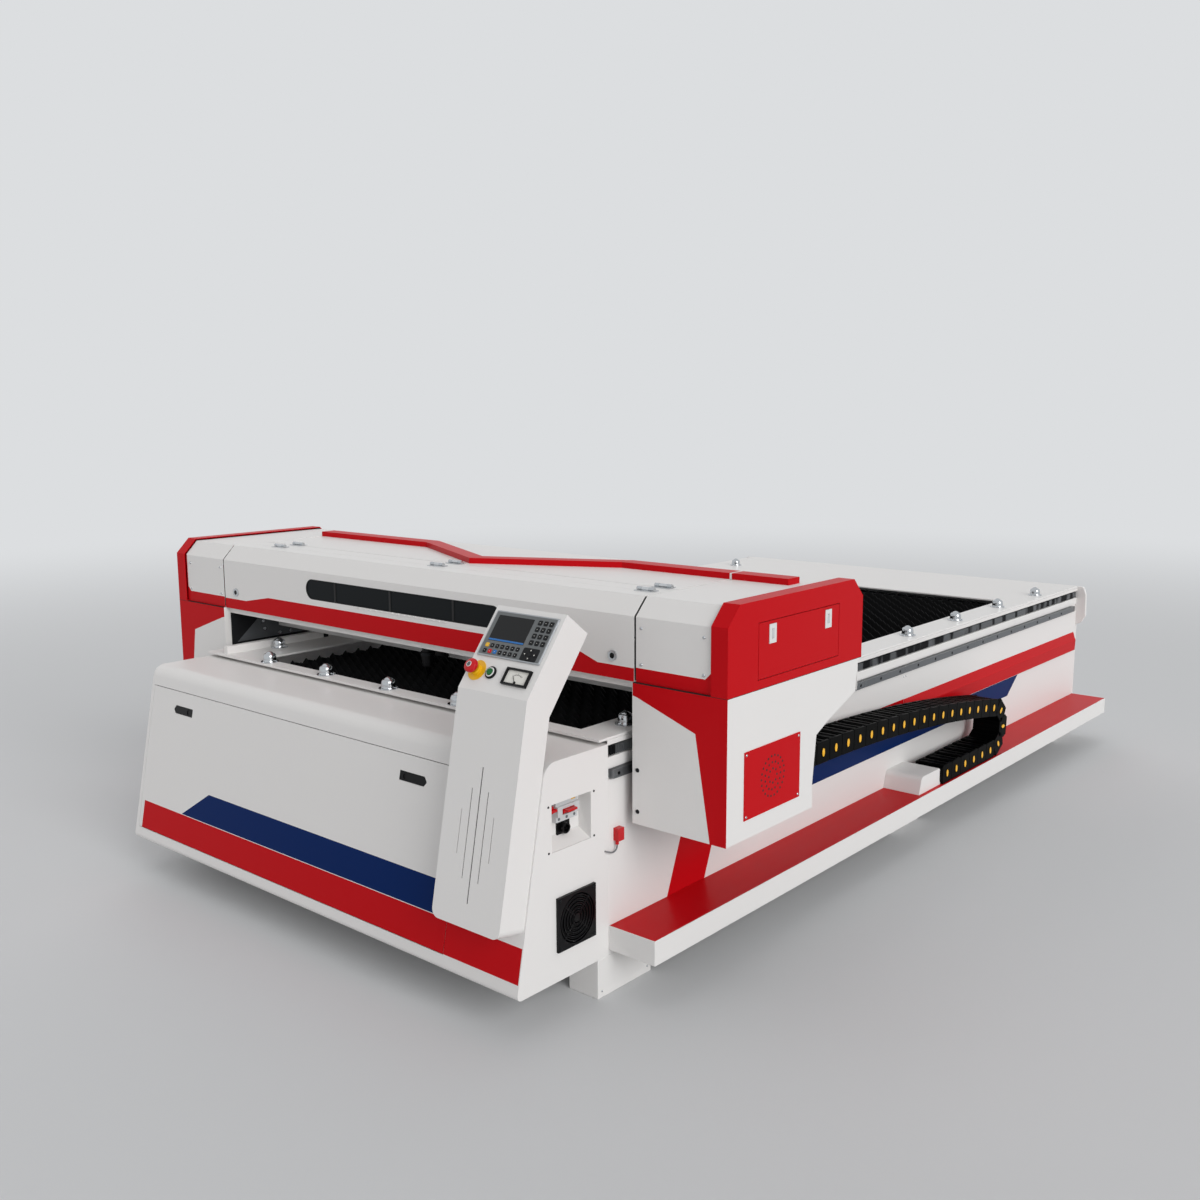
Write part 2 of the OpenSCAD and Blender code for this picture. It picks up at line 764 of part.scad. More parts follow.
// Twin toggle that turns on the breaker's cross pin
module breaker_toggle() {
    color("red") in_place() difference() {
        union() {
            rod_y(breaker_y - 22, breaker_y + 22, breaker_face - 4, toggle_z, 7);
            for (y = [breaker_y - 13, breaker_y + 13])
                box(breaker_face - 4, breaker_face + 14, y - 6, y + 6, toggle_z + 0.5, toggle_z + 6.5);
            box(breaker_face + 6, breaker_face + 14, breaker_y - 19, breaker_y + 19,
                toggle_z + 0.5, toggle_z + 6.5);
        }
        rod_y(breaker_y - 23, breaker_y + 23, breaker_face - 4, toggle_z, 2 + run_gap);
    }
}

module inlet_socket() {
    back = half_w - skin_t - recess_d + 2;
    y = -recess_y + 12;
    z = recess_z - 27;
    color("black") in_place() difference() {
        union() {
            box(back, back + 4, y - 25, y + 25, z - 17, z + 17);
            rod_x(back, back + 16, y, z, 15);
            rod_x(back - 20, back + 1, y, z, 14);
        }
        rod_x(back + 3, back + 17, y, z, 11);
    }
    color("black") in_place()
        for (a = [90, 210, 330]) rod_x(back + 2, back + 13, y + 5 * cos(a), z + 5 * sin(a), 1.6);
}

// Fan frame with its axle, carried on three struts, and the guard outside
module fan_housing() {
    face = half_w - skin_t;
    h = fan_w / 2;
    color("black") in_place() translate([0, -fan_y, fan_z]) {
        difference() {
            box(face - fan_depth, face, -h, h, -h, h);
            rod_x(face - fan_depth - 1, face + 1, 0, 0, fan_r);
        }
        for (a = [30, 150, 270]) rotate([a, 0, 0])
            box(face - fan_depth, face - fan_depth + 4, -4, 4, 12, fan_r + 2);
        rod_x(face - fan_depth, face - fan_depth + 8, 0, 0, 18);
        rod_x(face - fan_depth, face - 8, 0, 0, axle_r);
        translate([half_w, 0, 0]) {
            difference() {
                box(0, guard_t, -h, h, -h, h);
                rod_x(-1, guard_t + 1, 0, 0, fan_r);
            }
            for (r = [18:11:fan_r - 5]) difference() {
                rod_x(2, guard_t - 1, 0, 0, r + 1.5);
                rod_x(1, guard_t + 1, 0, 0, r - 1.5);
            }
            for (a = [45, 135]) rotate([a, 0, 0]) box(2, guard_t - 2, -2, 2, -fan_r - 1, fan_r + 1);
            rod_x(2, guard_t - 1, 0, 0, 12);
        }
    }
}

module fan_rotor() {
    face = half_w - skin_t;
    x0 = face - fan_depth + 8 + slide_gap;
    x1 = face - 8;
    color("black") in_place() translate([0, -fan_y, fan_z]) difference() {
        union() {
            rod_x(x0, x1, 0, 0, hub_r);
            for (a = [0:360 / 7:359]) rotate([a, 0, 0])
                translate([(x0 + x1) / 2, 0, hub_r - 2]) rotate([0, 0, 35])
                    box(-15, 15, -1.2, 1.2, 0, fan_r - hub_r - 4);
        }
        rod_x(x0 - 1, x1 + 1, 0, 0, axle_r + run_gap);
    }
}

// ---------------------------------------------------------------- front door

module pull_outline(d = 0) {
    point = 10;
    w = pull_w / 2 + d;
    h = pull_h / 2 + d;
    polygon([[-w + point, -h], [w, -h], [w, h], [-w + point, h], [-w, 2], [-w, -2]]);
}

pull_s = door_high - 62;
pull_t = 6;
pull_tip = 14;

// Each pull swings on an upright pin near its pointed end
module pull_pin_place(side) {
    on_front(door_mid + side * pull_x, pull_s)
        translate([side * (pull_w / 2 - pull_tip), 0, -pull_t / 2]) children();
}

module front_door() {
    color("whitesmoke") in_place() {
        difference() {
            on_front(0, 0) {
                difference() {
                    box(door_x0, door_x1, door_low, door_high, -door_fold, 0);
                    box(door_x0 + skin_t, door_x1 - skin_t, door_low + skin_t, door_high - skin_t,
                        -door_fold - 1, -skin_t);
                }
                for (s = [-1, 1]) translate([door_mid + s * pull_x, pull_s, 0])
                    box(-pull_w / 2 - 8, pull_w / 2 + 8, -pull_h / 2 - 8, pull_h / 2 + 8,
                        -door_fold, -skin_t + eps);
            }
            for (s = [-1, 1]) on_front(door_mid + s * pull_x, pull_s) mirror([s == 1 ? 1 : 0, 0, 0])
                along_z(-door_fold + 3, 1) pull_outline(insert_gap);
            for (x = [door_x0 - 1, door_x1 - skin_t - 4]) on_front(0, 0)
                rod_x(x, x + skin_t + 5, door_axis_s, door_axis_o, door_pin_r + run_gap);
        }
        for (s = [-1, 1]) pull_pin_place(s) rotate([90, 0, 0])
            cylinder(h = pull_h + 4, r = 1.5, center = true);
    }
}

// Flush pull with a pointed outer end
module door_pull(side) {
    color("black") in_place() difference() {
        on_front(door_mid + side * pull_x, pull_s) mirror([side == 1 ? 1 : 0, 0, 0]) difference() {
            along_z(-pull_t, 0) pull_outline(0);
            along_z(-2, 1) translate([pull_w / 2 - 24, 0]) circle(r = 9);
        }
        pull_pin_place(side) rotate([90, 0, 0]) cylinder(h = pull_h + 6, r = 1.5 + run_gap, center = true);
    }
}

module door_pull_left() { door_pull(-1); }
module door_pull_right() { door_pull(1); }

// ---------------------------------------------------------------- console

con_foot_r = 24;

// Cuts the console's lower corners round, seen from the front; d is how far in from the outside
module console_corners(d = 0) {
    translate([0, con_front(con_low), con_low]) rotate([slope_tilt, 0, 0]) for (side = [-1, 1])
        translate([con_mid + side * (con_w / 2 - con_foot_r), con_foot_r, -con_d - 1]) difference() {
            translate([side < 0 ? -con_foot_r - 1 : 0, -con_foot_r - 1, 0])
                cube([con_foot_r + 1, con_foot_r + 1, con_d + 2]);
            translate([0, 0, -1]) cylinder(h = con_d + 4, r = con_foot_r - d);
        }
}

module console() {
    x0 = con_x0;
    x1 = con_x1;
    slot_h = [118, 235, 353, 235, 118];
    slot_w = [2.5, 3.5, 4.5, 3.5, 2.5];
    color("whitesmoke") in_place() difference() {
        along_x(x0, x1) polygon(con_outline);
        console_corners();
        difference() {
            along_x(x0 + skin_t, x1 - skin_t) polygon(inset(con_outline, skin_t));
            console_corners(skin_t);
        }
        on_console(con_mid, panel_s)
            box(-panel_w / 2 + 8, panel_w / 2 - 8, -panel_h / 2 + 8, panel_h / 2 - 8, -10, 10);
        on_console(estop_x, button_s) cylinder(h = 20, r = button_hole / 2, center = true);
        on_console(start_x, button_s) cylinder(h = 20, r = button_hole / 2, center = true);
        on_console(meter_x, meter_s)
            box(-meter_w / 2 + 6, meter_w / 2 - 6, -meter_h / 2 + 6, meter_h / 2 - 6, -10, 10);
        for (i = [0:4]) translate([0, con_front(420), 420]) rotate([slope_tilt, 0, 0])
            translate([con_mid + (i - 2) * 29.5, 0, 0])
                box(-slot_w[i] / 2, slot_w[i] / 2, -slot_h[i] / 2, slot_h[i] / 2, -6, 6);
    }
}

module controller() {
    color("gray") in_place() on_console(con_mid, panel_s) {
        box(-panel_w / 2, panel_w / 2, -panel_h / 2, panel_h / 2, 0, controller_t);
        box(-panel_w / 2 + 12, panel_w / 2 - 12, -panel_h / 2 + 12, panel_h / 2 - 12, -28, eps);
    }
}

// Fixed barrels of the emergency stop and the start button
module button_bezels() {
    color("gold") in_place() {
        on_console(estop_x, button_s) difference() {
            union() {
                cylinder(h = bezel_t - 2, r = 29);
                cylinder(h = collar_h, r = 16);
                translate([0, 0, -30]) cylinder(h = 31, r = button_hole / 2 - 0.2);
            }
            translate([0, 0, -20]) cylinder(h = collar_h + 40, r = 7);
        }
        on_console(start_x, button_s) difference() {
            union() {
                cylinder(h = bezel_t, r = 15);
                translate([0, 0, -30]) cylinder(h = 31, r = button_hole / 2 - 0.2);
            }
            translate([0, 0, -20]) cylinder(h = 60, r = 9);
        }
    }
}

module estop_head() {
    color("red") in_place() on_console(estop_x, button_s) {
        translate([0, 0, -14]) cylinder(h = collar_h + button_travel + 15, r = 7 - run_gap);
        translate([0, 0, collar_h + button_travel + slide_gap]) rotate_extrude()
            polygon([[0, 0], [15, 0], [19, 4], [20, 9], [19, 14], [15, 17], [8, 18.5], [0, 19]]);
    }
}

module start_button() {
    color("green") in_place() on_console(start_x, button_s) translate([0, 0, -14])
        cylinder(h = 14 + start_h, r = 9 - run_gap);
}

module ammeter() {
    color("black") in_place() {
        on_console(meter_x, meter_s) difference() {
            union() {
                box(-meter_w / 2, meter_w / 2, -meter_h / 2, meter_h / 2, 0, meter_t);
                box(-meter_w / 2 + 7, meter_w / 2 - 7, -meter_h / 2 + 7, meter_h / 2 - 7, -22, eps);
            }
            box(-meter_w / 2 + 5, meter_w / 2 - 5, -meter_h / 2 + 5, meter_h / 2 - 5, 2, meter_t + 1);
        }
        on_console(meter_x, meter_pivot) cylinder(h = 6, r = 1.2);
    }
}

module meter_needle() {
    color("black") in_place() on_console(meter_x, meter_pivot)
        translate([0, 0, 2 + slide_gap]) rotate([0, 0, 40]) difference() {
            union() {
                cylinder(h = 3, r = 3);
                box(-0.5, 0.5, 0, 22, 1, 2);
            }
            translate([0, 0, -1]) cylinder(h = 5, r = 1.2 + run_gap);
        }
}

// ---------------------------------------------------------------- shelf, chain, switch

module chain_shelf() {
    x1 = half_w + shelf_w;
    t = 3;
    color("white") in_place() difference() {
        box(half_w, x1, 0, bed_l + 3, shelf_low, shelf_top);
        box(half_w + t, x1 - t, t, bed_l + 3 - t, shelf_low - 1, shelf_top - t);
    }
}

anchor_cut = 11;

module chain_anchor() {
    x1 = half_w + 145;
    y0 = chain_fixed - 175;
    y1 = chain_fixed - 1;
    top = shelf_top + 65;
    outline = concat([[y0, shelf_top], [y1, shelf_top], [y1, top - anchor_cut], [y1 - anchor_cut, top]],
        corner([y1, top], [y0 + 18, top], [y0, shelf_top], 22, 5));
    color("white") in_place() difference() {
        along_x(half_w, x1) polygon(outline);
        box(half_w + skin_t, x1 - skin_t, y0 + 30, y1 + 1, shelf_top - 1, top - anchor_cut - skin_t);
    }
}

// Outline of the chain's path, w to each side of its centre line
function path_side(pts, w) = let (n = len(pts)) [for (i = [0:n - 1])
    let (d = unit(pts[min(i + 1, n - 1)] - pts[max(i - 1, 0)])) pts[i] + w * [-d.y, d.x]];
function reversed(pts) = [for (i = [len(pts) - 1:-1:0]) pts[i]];

// Two chains of side plates joined by a cross bar at every link
module cable_chain() {
    w = link_h / 2 - 0.5;
    plate = 10;
    bar = 12;
    color("black") in_place() {
        for (x = [chain_x0, chain_x1 - plate]) along_x(x, x + plate)
            polygon(concat(path_side(chain_path, w), reversed(path_side(chain_path, -w))));
        for (i = [1:len(chain_path) - 2]) let (d = unit(chain_path[i + 1] - chain_path[i - 1]))
            translate([0, chain_path[i].x, chain_path[i].y]) rotate([atan2(d.y, d.x), 0, 0])
                for (z = [8 - w, w - 8])
                    box(chain_x0 + plate - 1, chain_x1 - plate + 1, -bar, bar, z - 2, z + 2);
    }
}

module limit_switch() {
    color("red") in_place() {
        box(half_w, half_w + switch_d, switch_y - switch_w / 2, switch_y + switch_w / 2,
            switch_low, switch_low + switch_h);
        translate([lead_route[0].x, lead_route[0].y, switch_low - gland_h])
            cylinder(h = gland_h + eps, r = gland_r);
    }
}

// The lead keeps its hand-laid route along the side of the machine
module limit_lead() {
    sides = 8;
    n = len(lead_route);
    function ring(i) = let (
        d = unit(lead_route[min(i + 1, n - 1)] - lead_route[max(i - 1, 0)]),
        u = unit(cross(d, abs(d.x) < 0.9 ? [1, 0, 0] : [0, 0, 1])), v = cross(d, u))
        [for (k = [0:sides - 1]) let (a = k * 360 / sides)
            lead_route[i] + lead_r * (u * cos(a) + v * sin(a))];
    color("dimgray") in_place() polyhedron(
        points = [for (i = [0:n - 1]) each ring(i)],
        faces = concat([[for (k = [0:sides - 1]) k]],
            [for (i = [0:n - 2], k = [0:sides - 1]) let (a = i * sides + k, b = i * sides + (k + 1) % sides)
                [a, a + sides, b + sides, b]],
            [[for (k = [sides - 1:-1:0]) (n - 1) * sides + k]]));
}

// ---------------------------------------------------------------- gantry structure

// Beam, bulkheads, rear deck and front sill, welded together
module gantry_beam() {
    t = 5;
    bulk = inset(cover_outline(cap_proud), skin_t + 1);
    color("lightgray") in_place() {
        difference() {
            box(-leg_x, leg_x, cross_y, cross_rear, cross_low, cross_top);
            box(-leg_x - 1, leg_x + 1, cross_y + t, cross_rear - t, cross_low + t, cross_top - t);
        }
        box(-leg_x + 4, leg_x - 4, cross_rear - 1, gan_rear - 12, deck_z, deck_z + 3);
        box(-leg_x, leg_x, sill_y, sill_y + 3, sill_low, sill_top);
        box(-leg_x, leg_x, sill_y, sill_y + 40, sill_low, sill_low + 3);
        both_sides() difference() {
            along_x(leg_x, leg_x + 6) difference() {
                polygon([for (p = bulk) [p.x, max(p.y, gan_low)]]);
                polygon([for (p = inset(bulk, 45)) [p.x, p.y]]);
            }
            box(leg_x - 1, leg_x + 7, spine_y0 - 2, spine_y1 + 2,
                cover_top - spine_t - slide_gap, cover_top + 1);
        }
    }
}

// Welded legs: front wall, skirt, inner plate, top plate, motor seat and chain bracket
module leg() {
    t = 3;
    inner = [[gan_front, leg_low], [gan_front + 428, leg_low], [gan_front + 440, 480], [gan_rear - 20, 480],
        [gan_rear - 20, gan_low], [gan_front, gan_low]];
    difference() {
        union() {
            box(leg_x, gan_half, gan_front, gan_front + t, leg_low, gan_low);
            along_x(gan_half - t, gan_half) polygon(skirt_outline);
            along_x(leg_x, leg_x + leg_plate) polygon(inner);
            box(leg_x, gan_half, gan_front, gan_rear, gan_low - t, gan_low);
            box(leg_x, gan_half, gan_rear - 20 - t, gan_rear - 20, gan_low - 96, gan_low);
        }
        box(leg_x - 1, leg_x + leg_plate + 1, motor_y - motor_window, motor_y + motor_window,
            rack_z - rack_w, gan_low - t - eps);
        for (z = [leg_low + 37, leg_low + 154]) rod_y(gan_front - 1, gan_front + t + 1, leg_x + 12, z, 4);
    }
    difference() {
        box(pinion_x - motor_s / 2, leg_x + 70, motor_y - motor_window, motor_y + motor_window,
            motor_z - mount_t, motor_z);
        translate([pinion_x, motor_y, motor_z - mount_t - 1])
            cylinder(h = mount_t + 2, r = drive_shaft_r + 4);
    }
    for (y = [motor_y - motor_window - 6, motor_y + motor_window])
        box(leg_x + leg_plate - 1, leg_x + 70, y, y + 6, motor_z - 50, motor_z);
}

module legs() {
    color("white") in_place() {
        both_sides() leg();
        box(leg_x + leg_plate - 1, chain_x1 + 4, gan_front + 330, chain_moving + 30,
            chain_high - link_h / 2 - 5, chain_high - link_h / 2 - 2);
    }
}

vent_y0 = gan_front + 79;
vent_z0 = leg_low + 52;
vent_w = 274;
vent_h = 186;
vent_hole_r = 3;

// Screwed plates over the drive motors, with rings of vent holes
module vent_plates() {
    color("red") in_place() both_sides()
        translate([gan_half, vent_y0 + vent_w / 2, vent_z0 + vent_h / 2]) difference() {
            box(0, 2, -vent_w / 2, vent_w / 2, -vent_h / 2, vent_h / 2);
            for (r = [20, 38, 56], a = [0:360 / round(r / 2.6):359])
                rod_x(-1, 3, r * cos(a), r * sin(a), vent_hole_r);
            for (dy = [-1, 1], dz = [-1, 1])
                rod_x(-1, 3, dy * (vent_w / 2 - 9), dz * (vent_h / 2 - 9), 2.5);
        }
}

module hatch_opening(x0, x1, g) {
    box(x0, x1, hatch_y0 - g, hatch_y0 + hatch_w + g, hatch_z0 - g, hatch_z0 + hatch_h + g);
}

// Each cap has an ear and a stub pin at both ends of its hatch
module end_cap() {
    t = 3;
    ear_t = 5;
    hatch_y1 = hatch_y0 + hatch_w;
    difference() {
        along_x(cap_in, gan_half) polygon(cover_outline(0));
        along_x(cap_in - 1, gan_half - t) polygon(inset(cover_outline(0), t));
        hatch_opening(gan_half - 10, gan_half + 1, door_gap);
    }
    for (y = [hatch_y0 - door_gap - ear_t, hatch_y1 + door_gap])
        box(gan_half - 12, gan_half - t + eps, y, y + ear_t, hatch_axis_z - 6, hatch_axis_z + 6);
    rod_y(hatch_y0 - door_gap - 1, hatch_y0 + 6, hatch_axis_x, hatch_axis_z, hatch_pin_r);
    rod_y(hatch_y1 - 6, hatch_y1 + door_gap + 1, hatch_axis_x, hatch_axis_z, hatch_pin_r);
}

module end_caps() {
    color("red") in_place() both_sides() end_cap();
}

// Pan door that folds down on the cap's stub pins
module hatch() {
    t = 3;
    difference() {
        hatch_opening(gan_half - hatch_fold, gan_half, 0);
        hatch_opening(gan_half - hatch_fold - 1, gan_half - t, -t);
        for (y = [hatch_y0 - 1, hatch_y0 + hatch_w - 7])
            rod_y(y, y + 8, hatch_axis_x, hatch_axis_z, hatch_pin_r + run_gap);
        for (y = latch_ys)
            box(gan_half - 20, gan_half + 1, y - latch_w / 2 - insert_gap, y + latch_w / 2 + insert_gap,
                latch_z - latch_h / 2 - insert_gap, latch_z + latch_h / 2 + insert_gap);
    }
}

latch_ys = [hatch_y0 + 66, hatch_y0 + 353];
latch_w = 34;
latch_h = 52;
latch_z = hatch_z0 + 115;

module hatch_right() { color("red") in_place() hatch(); }
module hatch_left() { color("red") in_place() mirror([1, 0, 0]) hatch(); }

// Press latches that stand flush in the hatch
module latch_pair() {
    for (y = latch_ys) difference() {
        union() {
            box(gan_half - 9, gan_half + 1, y - latch_w / 2, y + latch_w / 2,
                latch_z - latch_h / 2, latch_z + latch_h / 2);
            box(gan_half - 26, gan_half - 9 + eps, y - 6, y + 6,
                latch_z + latch_h / 2 - 16, latch_z + latch_h / 2);
        }
        translate([gan_half, y, latch_z]) box(-1, 2, -6, 6, -14, 14);
    }
}

module latches_right() { color("white") in_place() latch_pair(); }
module latches_left() { color("white") in_place() mirror([1, 0, 0]) latch_pair(); }

// The right cover carries the end of the rear lid's raised strip
module end_covers() {
    color("whitesmoke") in_place() {
        both_sides() difference() {
            along_x(leg_x + 6, cap_in) polygon(cover_outline(cap_proud));
            along_x(leg_x + 5, cap_in + 1) polygon(inset(cover_outline(cap_proud), skin_t));
        }
        box(leg_x + 6, cap_in - strip_margin, strip_y, strip_y + strip_w,
            cover_top - eps, cover_top + strip_t);
    }
}

module top_spine() {
    color("whitesmoke") in_place()
        box(-leg_x - 6 + eps, leg_x + 6 - eps, spine_y0, spine_y1, cover_top - spine_t, cover_top);
}

// Fixed leaves, outer knuckles and pins of both hinge rows
module lid_hinges() {
    color("silver") in_place() for (x = hinge_xs, s = [-1, 1])
        translate([x, s == -1 ? hinge_front : hinge_rear, 0]) {
            for (k = [-1, 1]) {
                rod_x(k * 21.5 - 8.5, k * 21.5 + 8.5, 0, knuckle_z, knuckle_r);
                box(k * 21.5 - 8.5, k * 21.5 + 8.5, s == -1 ? 0 : -18, s == -1 ? 18 : 0,
                    cover_top, cover_top + 3);
            }
            box(-hinge_l / 2, hinge_l / 2, s == -1 ? 8 : -18, s == -1 ? 18 : -8, cover_top, cover_top + 3);
            rod_x(-hinge_l / 2, hinge_l / 2, 0, knuckle_z, pin_r);
        }
}

// Middle knuckle and leaf that move with a lid; s is -1 on the front lid
module lid_leaf(s) {
    difference() {
        union() {
            rod_x(-13 + slide_gap, 13 - slide_gap, 0, knuckle_z, knuckle_r);
            box(-13 + slide_gap, 13 - slide_gap, s == -1 ? -18 : 0, s == -1 ? 0 : 18,
                cover_top, cover_top + 3);
            box(-hinge_l / 2, hinge_l / 2, s == -1 ? -18 : 8, s == -1 ? -8 : 18, cover_top, cover_top + 3);
        }
        rod_x(-14, 14, 0, knuckle_z, pin_r + run_gap);
    }
}

module front_lid() {
    face = gan_front + cap_proud;
    color("whitesmoke") in_place() {
        difference() {
            along_x(-lid_x, lid_x) difference() {
                polygon(cover_outline(cap_proud));
                polygon(inset(cover_outline(cap_proud), skin_t));
                translate([hinge_front - door_gap / 2, gan_low - 1]) square([gan_d, gan_h + 2]);
                translate([face + skin_t, gan_low - 1]) square([gan_d, 10]);
            }
            box(-window_l / 2 + window_h / 2, window_l / 2 - window_h / 2, face - 1, face + 10,
                window_z - window_h / 2, window_z + window_h / 2);
            for (s = [-1, 1]) {
                rod_y(face - 1, face + 10, s * (window_l / 2 - window_h / 2), window_z, window_h / 2);
                rod_y(face - 1, face + 10, s * lock_x, lock_z, lock_r);
            }
        }
        box(-window_l / 2 - 20, window_l / 2 + 20, face + skin_t, face + skin_t + 3,
            window_z - window_h / 2 - 14, window_z + window_h / 2 + 14);
        for (x = hinge_xs) translate([x, hinge_front, 0]) lid_leaf(-1);
    }
}

// Raised strip on the rear lid, which runs forward to a point beside the middle hinge
strip_w = 60;
strip_t = 19;
strip_y = 520;
strip_tip = [108, 296];
strip_arm = 463;
strip_margin = 57;
strip_front = [[-lid_x, strip_y], [strip_tip.x - strip_arm, strip_y], strip_tip,
    [strip_tip.x + strip_arm, strip_y], [leg_x + 6 - slide_gap, strip_y]];

module rear_lid() {
    face = gan_rear - cap_proud;
    color("whitesmoke") in_place() {
        along_x(-lid_x, lid_x) difference() {
            polygon(cover_outline(cap_proud));
            polygon(inset(cover_outline(cap_proud), skin_t));
            translate([gan_front - 1, gan_low - 1])
                square([hinge_rear + door_gap / 2 - gan_front + 1, gan_h + 2]);
            translate([gan_front - 1, gan_low - 1]) square([face - skin_t - gan_front + 1, 10]);
        }
        along_z(cover_top, cover_top + strip_t)
            polygon(concat(strip_front, reversed([for (p = strip_front) [p.x, p.y + strip_w]])));
        for (x = hinge_xs) translate([x, hinge_rear, 0]) lid_leaf(1);
    }
}

// Quarter-turn lock with its cam behind the sill
module cam_lock(side) {
    face = gan_front + cap_proud;
    color("silver") in_place() {
        rod_y(face - 4, face, side * lock_x, lock_z, lock_r + 4);
        rod_y(face - 1, sill_y + 6, side * lock_x, lock_z, lock_r - run_gap - 0.1);
        box(side * lock_x - 7, side * lock_x + 7, sill_y + 3 + slide_gap, sill_y + 6, lock_z - 42, lock_z);
    }
}

module cam_lock_left() { cam_lock(-1); }
module cam_lock_right() { cam_lock(1); }

// ---------------------------------------------------------------- drives and optics

module guide_blocks() {
    z0 = rail_z - block_w / 2;
    color("silver") in_place() both_sides() for (y = block_ys) difference() {
        box(block_under, leg_x, y - block_l / 2, y + block_l / 2, z0, z0 + block_w);
        box(block_under - 1, rail_face + slide_gap, y - block_l, y + block_l,
            rail_z0 - slide_gap, rail_z0 + rail_w + slide_gap);
    }
}

module involute_gear(n, m, h, slack) {
    r = n * m / 2;
    rb = r * cos(20);
    ra = r + addendum;
    rf = r - dedendum;
    function inv(a) = tan(a) * 180 / PI - a;
    half = 90 / n - slack / 2 / r * 180 / PI;
    steps = 5;
    flank = [for (i = [0:steps])
        let (q = max(rb, rf) + (ra - max(rb, rf)) * i / steps, a = acos(min(1, rb / q)))
        [q, half + inv(20) - inv(a)]];
    along_z(0, h) polygon([for (k = [0:n - 1]) let (c = k * 360 / n) each concat(
        [[rf * cos(c - half - inv(20)), rf * sin(c - half - inv(20))]],
        [for (f = flank) [f[0] * cos(c - f[1]), f[0] * sin(c - f[1])]],
        [for (i = [steps:-1:0]) [flank[i][0] * cos(c + flank[i][1]), flank[i][0] * sin(c + flank[i][1])]],
        [[rf * cos(c + half + inv(20)), rf * sin(c + half + inv(20))]])]);
}

// Pinion and its shaft; a tooth gap faces the rack tooth level with the axis
module pinion() {
    h = rack_w - 5;
    translate([pinion_x, motor_y, rack_z - h / 2]) {
        rotate([0, 0, 180 + 180 / pinion_n]) involute_gear(pinion_n, tooth_m, h, backlash);
        cylinder(h = motor_z + 12 - rack_z + h / 2, r = drive_shaft_r);
    }
}

module pinion_right() { color("dimgray") in_place() pinion(); }
module pinion_left() { color("dimgray") in_place() mirror([1, 0, 0]) pinion(); }

// Drive motors for both legs and for the belt
module stepper_motors() {
    s = motor_s / 2;
    color("black") in_place() {
        both_sides() difference() {
            translate([pinion_x, motor_y, motor_z]) box(-s, s, -s, s, 0, 88);
            translate([pinion_x, motor_y, motor_z - 1]) cylinder(h = 21, r = drive_shaft_r + run_gap);
        }
        difference() {
            union() {
                box(pulley_x - s, pulley_x + s, belt_y - 100, belt_y - 10, belt_z - s, belt_z + s);
                box(pulley_x - s, pulley_x + s, belt_y - 100, cross_y, belt_z + s, belt_z + s + 6);
            }
            rod_y(belt_y - 30, belt_y - 9, pulley_x, belt_z, shaft_r + run_gap);
        }
    }
}

module x_rail() {
    color("silver") in_place()
        box(-xrail_half, xrail_half, cross_y - rail_h, cross_y, xrail_z - rail_w / 2, xrail_z + rail_w / 2);
}

// Belt loop round both pulleys, with the idler's bracket and axle
module x_belt() {
    r = pulley_r + slide_gap;
    color("black") in_place() difference() {
        union() {
            box(-pulley_x, pulley_x, belt_y, belt_y + belt_w, belt_z - r - belt_t, belt_z + r + belt_t);
            for (x = [-pulley_x, pulley_x]) rod_y(belt_y, belt_y + belt_w, x, belt_z, r + belt_t);
        }
        box(-pulley_x, pulley_x, belt_y - 1, belt_y + belt_w + 1, belt_z - r, belt_z + r);
        for (x = [-pulley_x, pulley_x]) rod_y(belt_y - 1, belt_y + belt_w + 1, x, belt_z, r);
    }
}

pulley_y0 = belt_y - 3;
pulley_y1 = belt_y + belt_w + 3;

module pulley(x, bore) {
    difference() {
        union() {
            rod_y(pulley_y0, pulley_y1, x, belt_z, pulley_r);
            rod_y(pulley_y0, pulley_y0 + 2, x, belt_z, pulley_r + 3.5);
            rod_y(pulley_y1 - 2, pulley_y1, x, belt_z, pulley_r + 3.5);
        }
        if (bore > 0) rod_y(pulley_y0 - 1, pulley_y1 + 1, x, belt_z, bore);
    }
}

module motor_pulley() {
    color("silver") in_place() {
        pulley(pulley_x, 0);
        rod_y(belt_y - 28, pulley_y1, pulley_x, belt_z, shaft_r);
    }
}

module idler_pulley() {
    color("silver") in_place() pulley(-pulley_x, shaft_r + run_gap);
}

// Glass tube with its narrower end caps
module laser_tube() {
    color("lightblue") in_place() {
        rod_x(-tube_l / 2 + 90, tube_l / 2 - 90, tube_y, tube_z, tube_d / 2);
        rod_x(-tube_l / 2, tube_l / 2, tube_y, tube_z, tube_d / 4);
    }
}

// Tube cradles, bending mirrors on their posts and the idler's axle
module beam_optics() {
    idler_x = -pulley_x;
    color("silver") in_place() {
        for (x = [-mount_x, mount_x]) difference() {
            union() {
                box(x - 15, x + 15, tube_y - 55, tube_y + 55, deck_z + 3, tube_z);
                rod_x(x - 15, x + 15, tube_y, tube_z, tube_d / 2 + 8);
            }
            rod_x(x - 16, x + 16, tube_y, tube_z, tube_d / 2 + run_gap);
        }
        translate([-tube_l / 2 - 50, tube_y, 0]) mirror_post();
        box(idler_x - 26, idler_x + 26, cross_y - 9, cross_y, belt_z - 26, belt_z + 26);
        rod_y(pulley_y0 - 2, cross_y - 5, idler_x, belt_z, shaft_r);
    }
}

module mirror_post() {
    box(-15, 15, -15, 15, deck_z + 3, tube_z - 30);
    box(-25, 25, -6, 20, tube_z - 30, tube_z + 26);
    translate([0, 0, tube_z]) rotate([0, 90, 45]) cylinder(h = 24, r = 14);
}

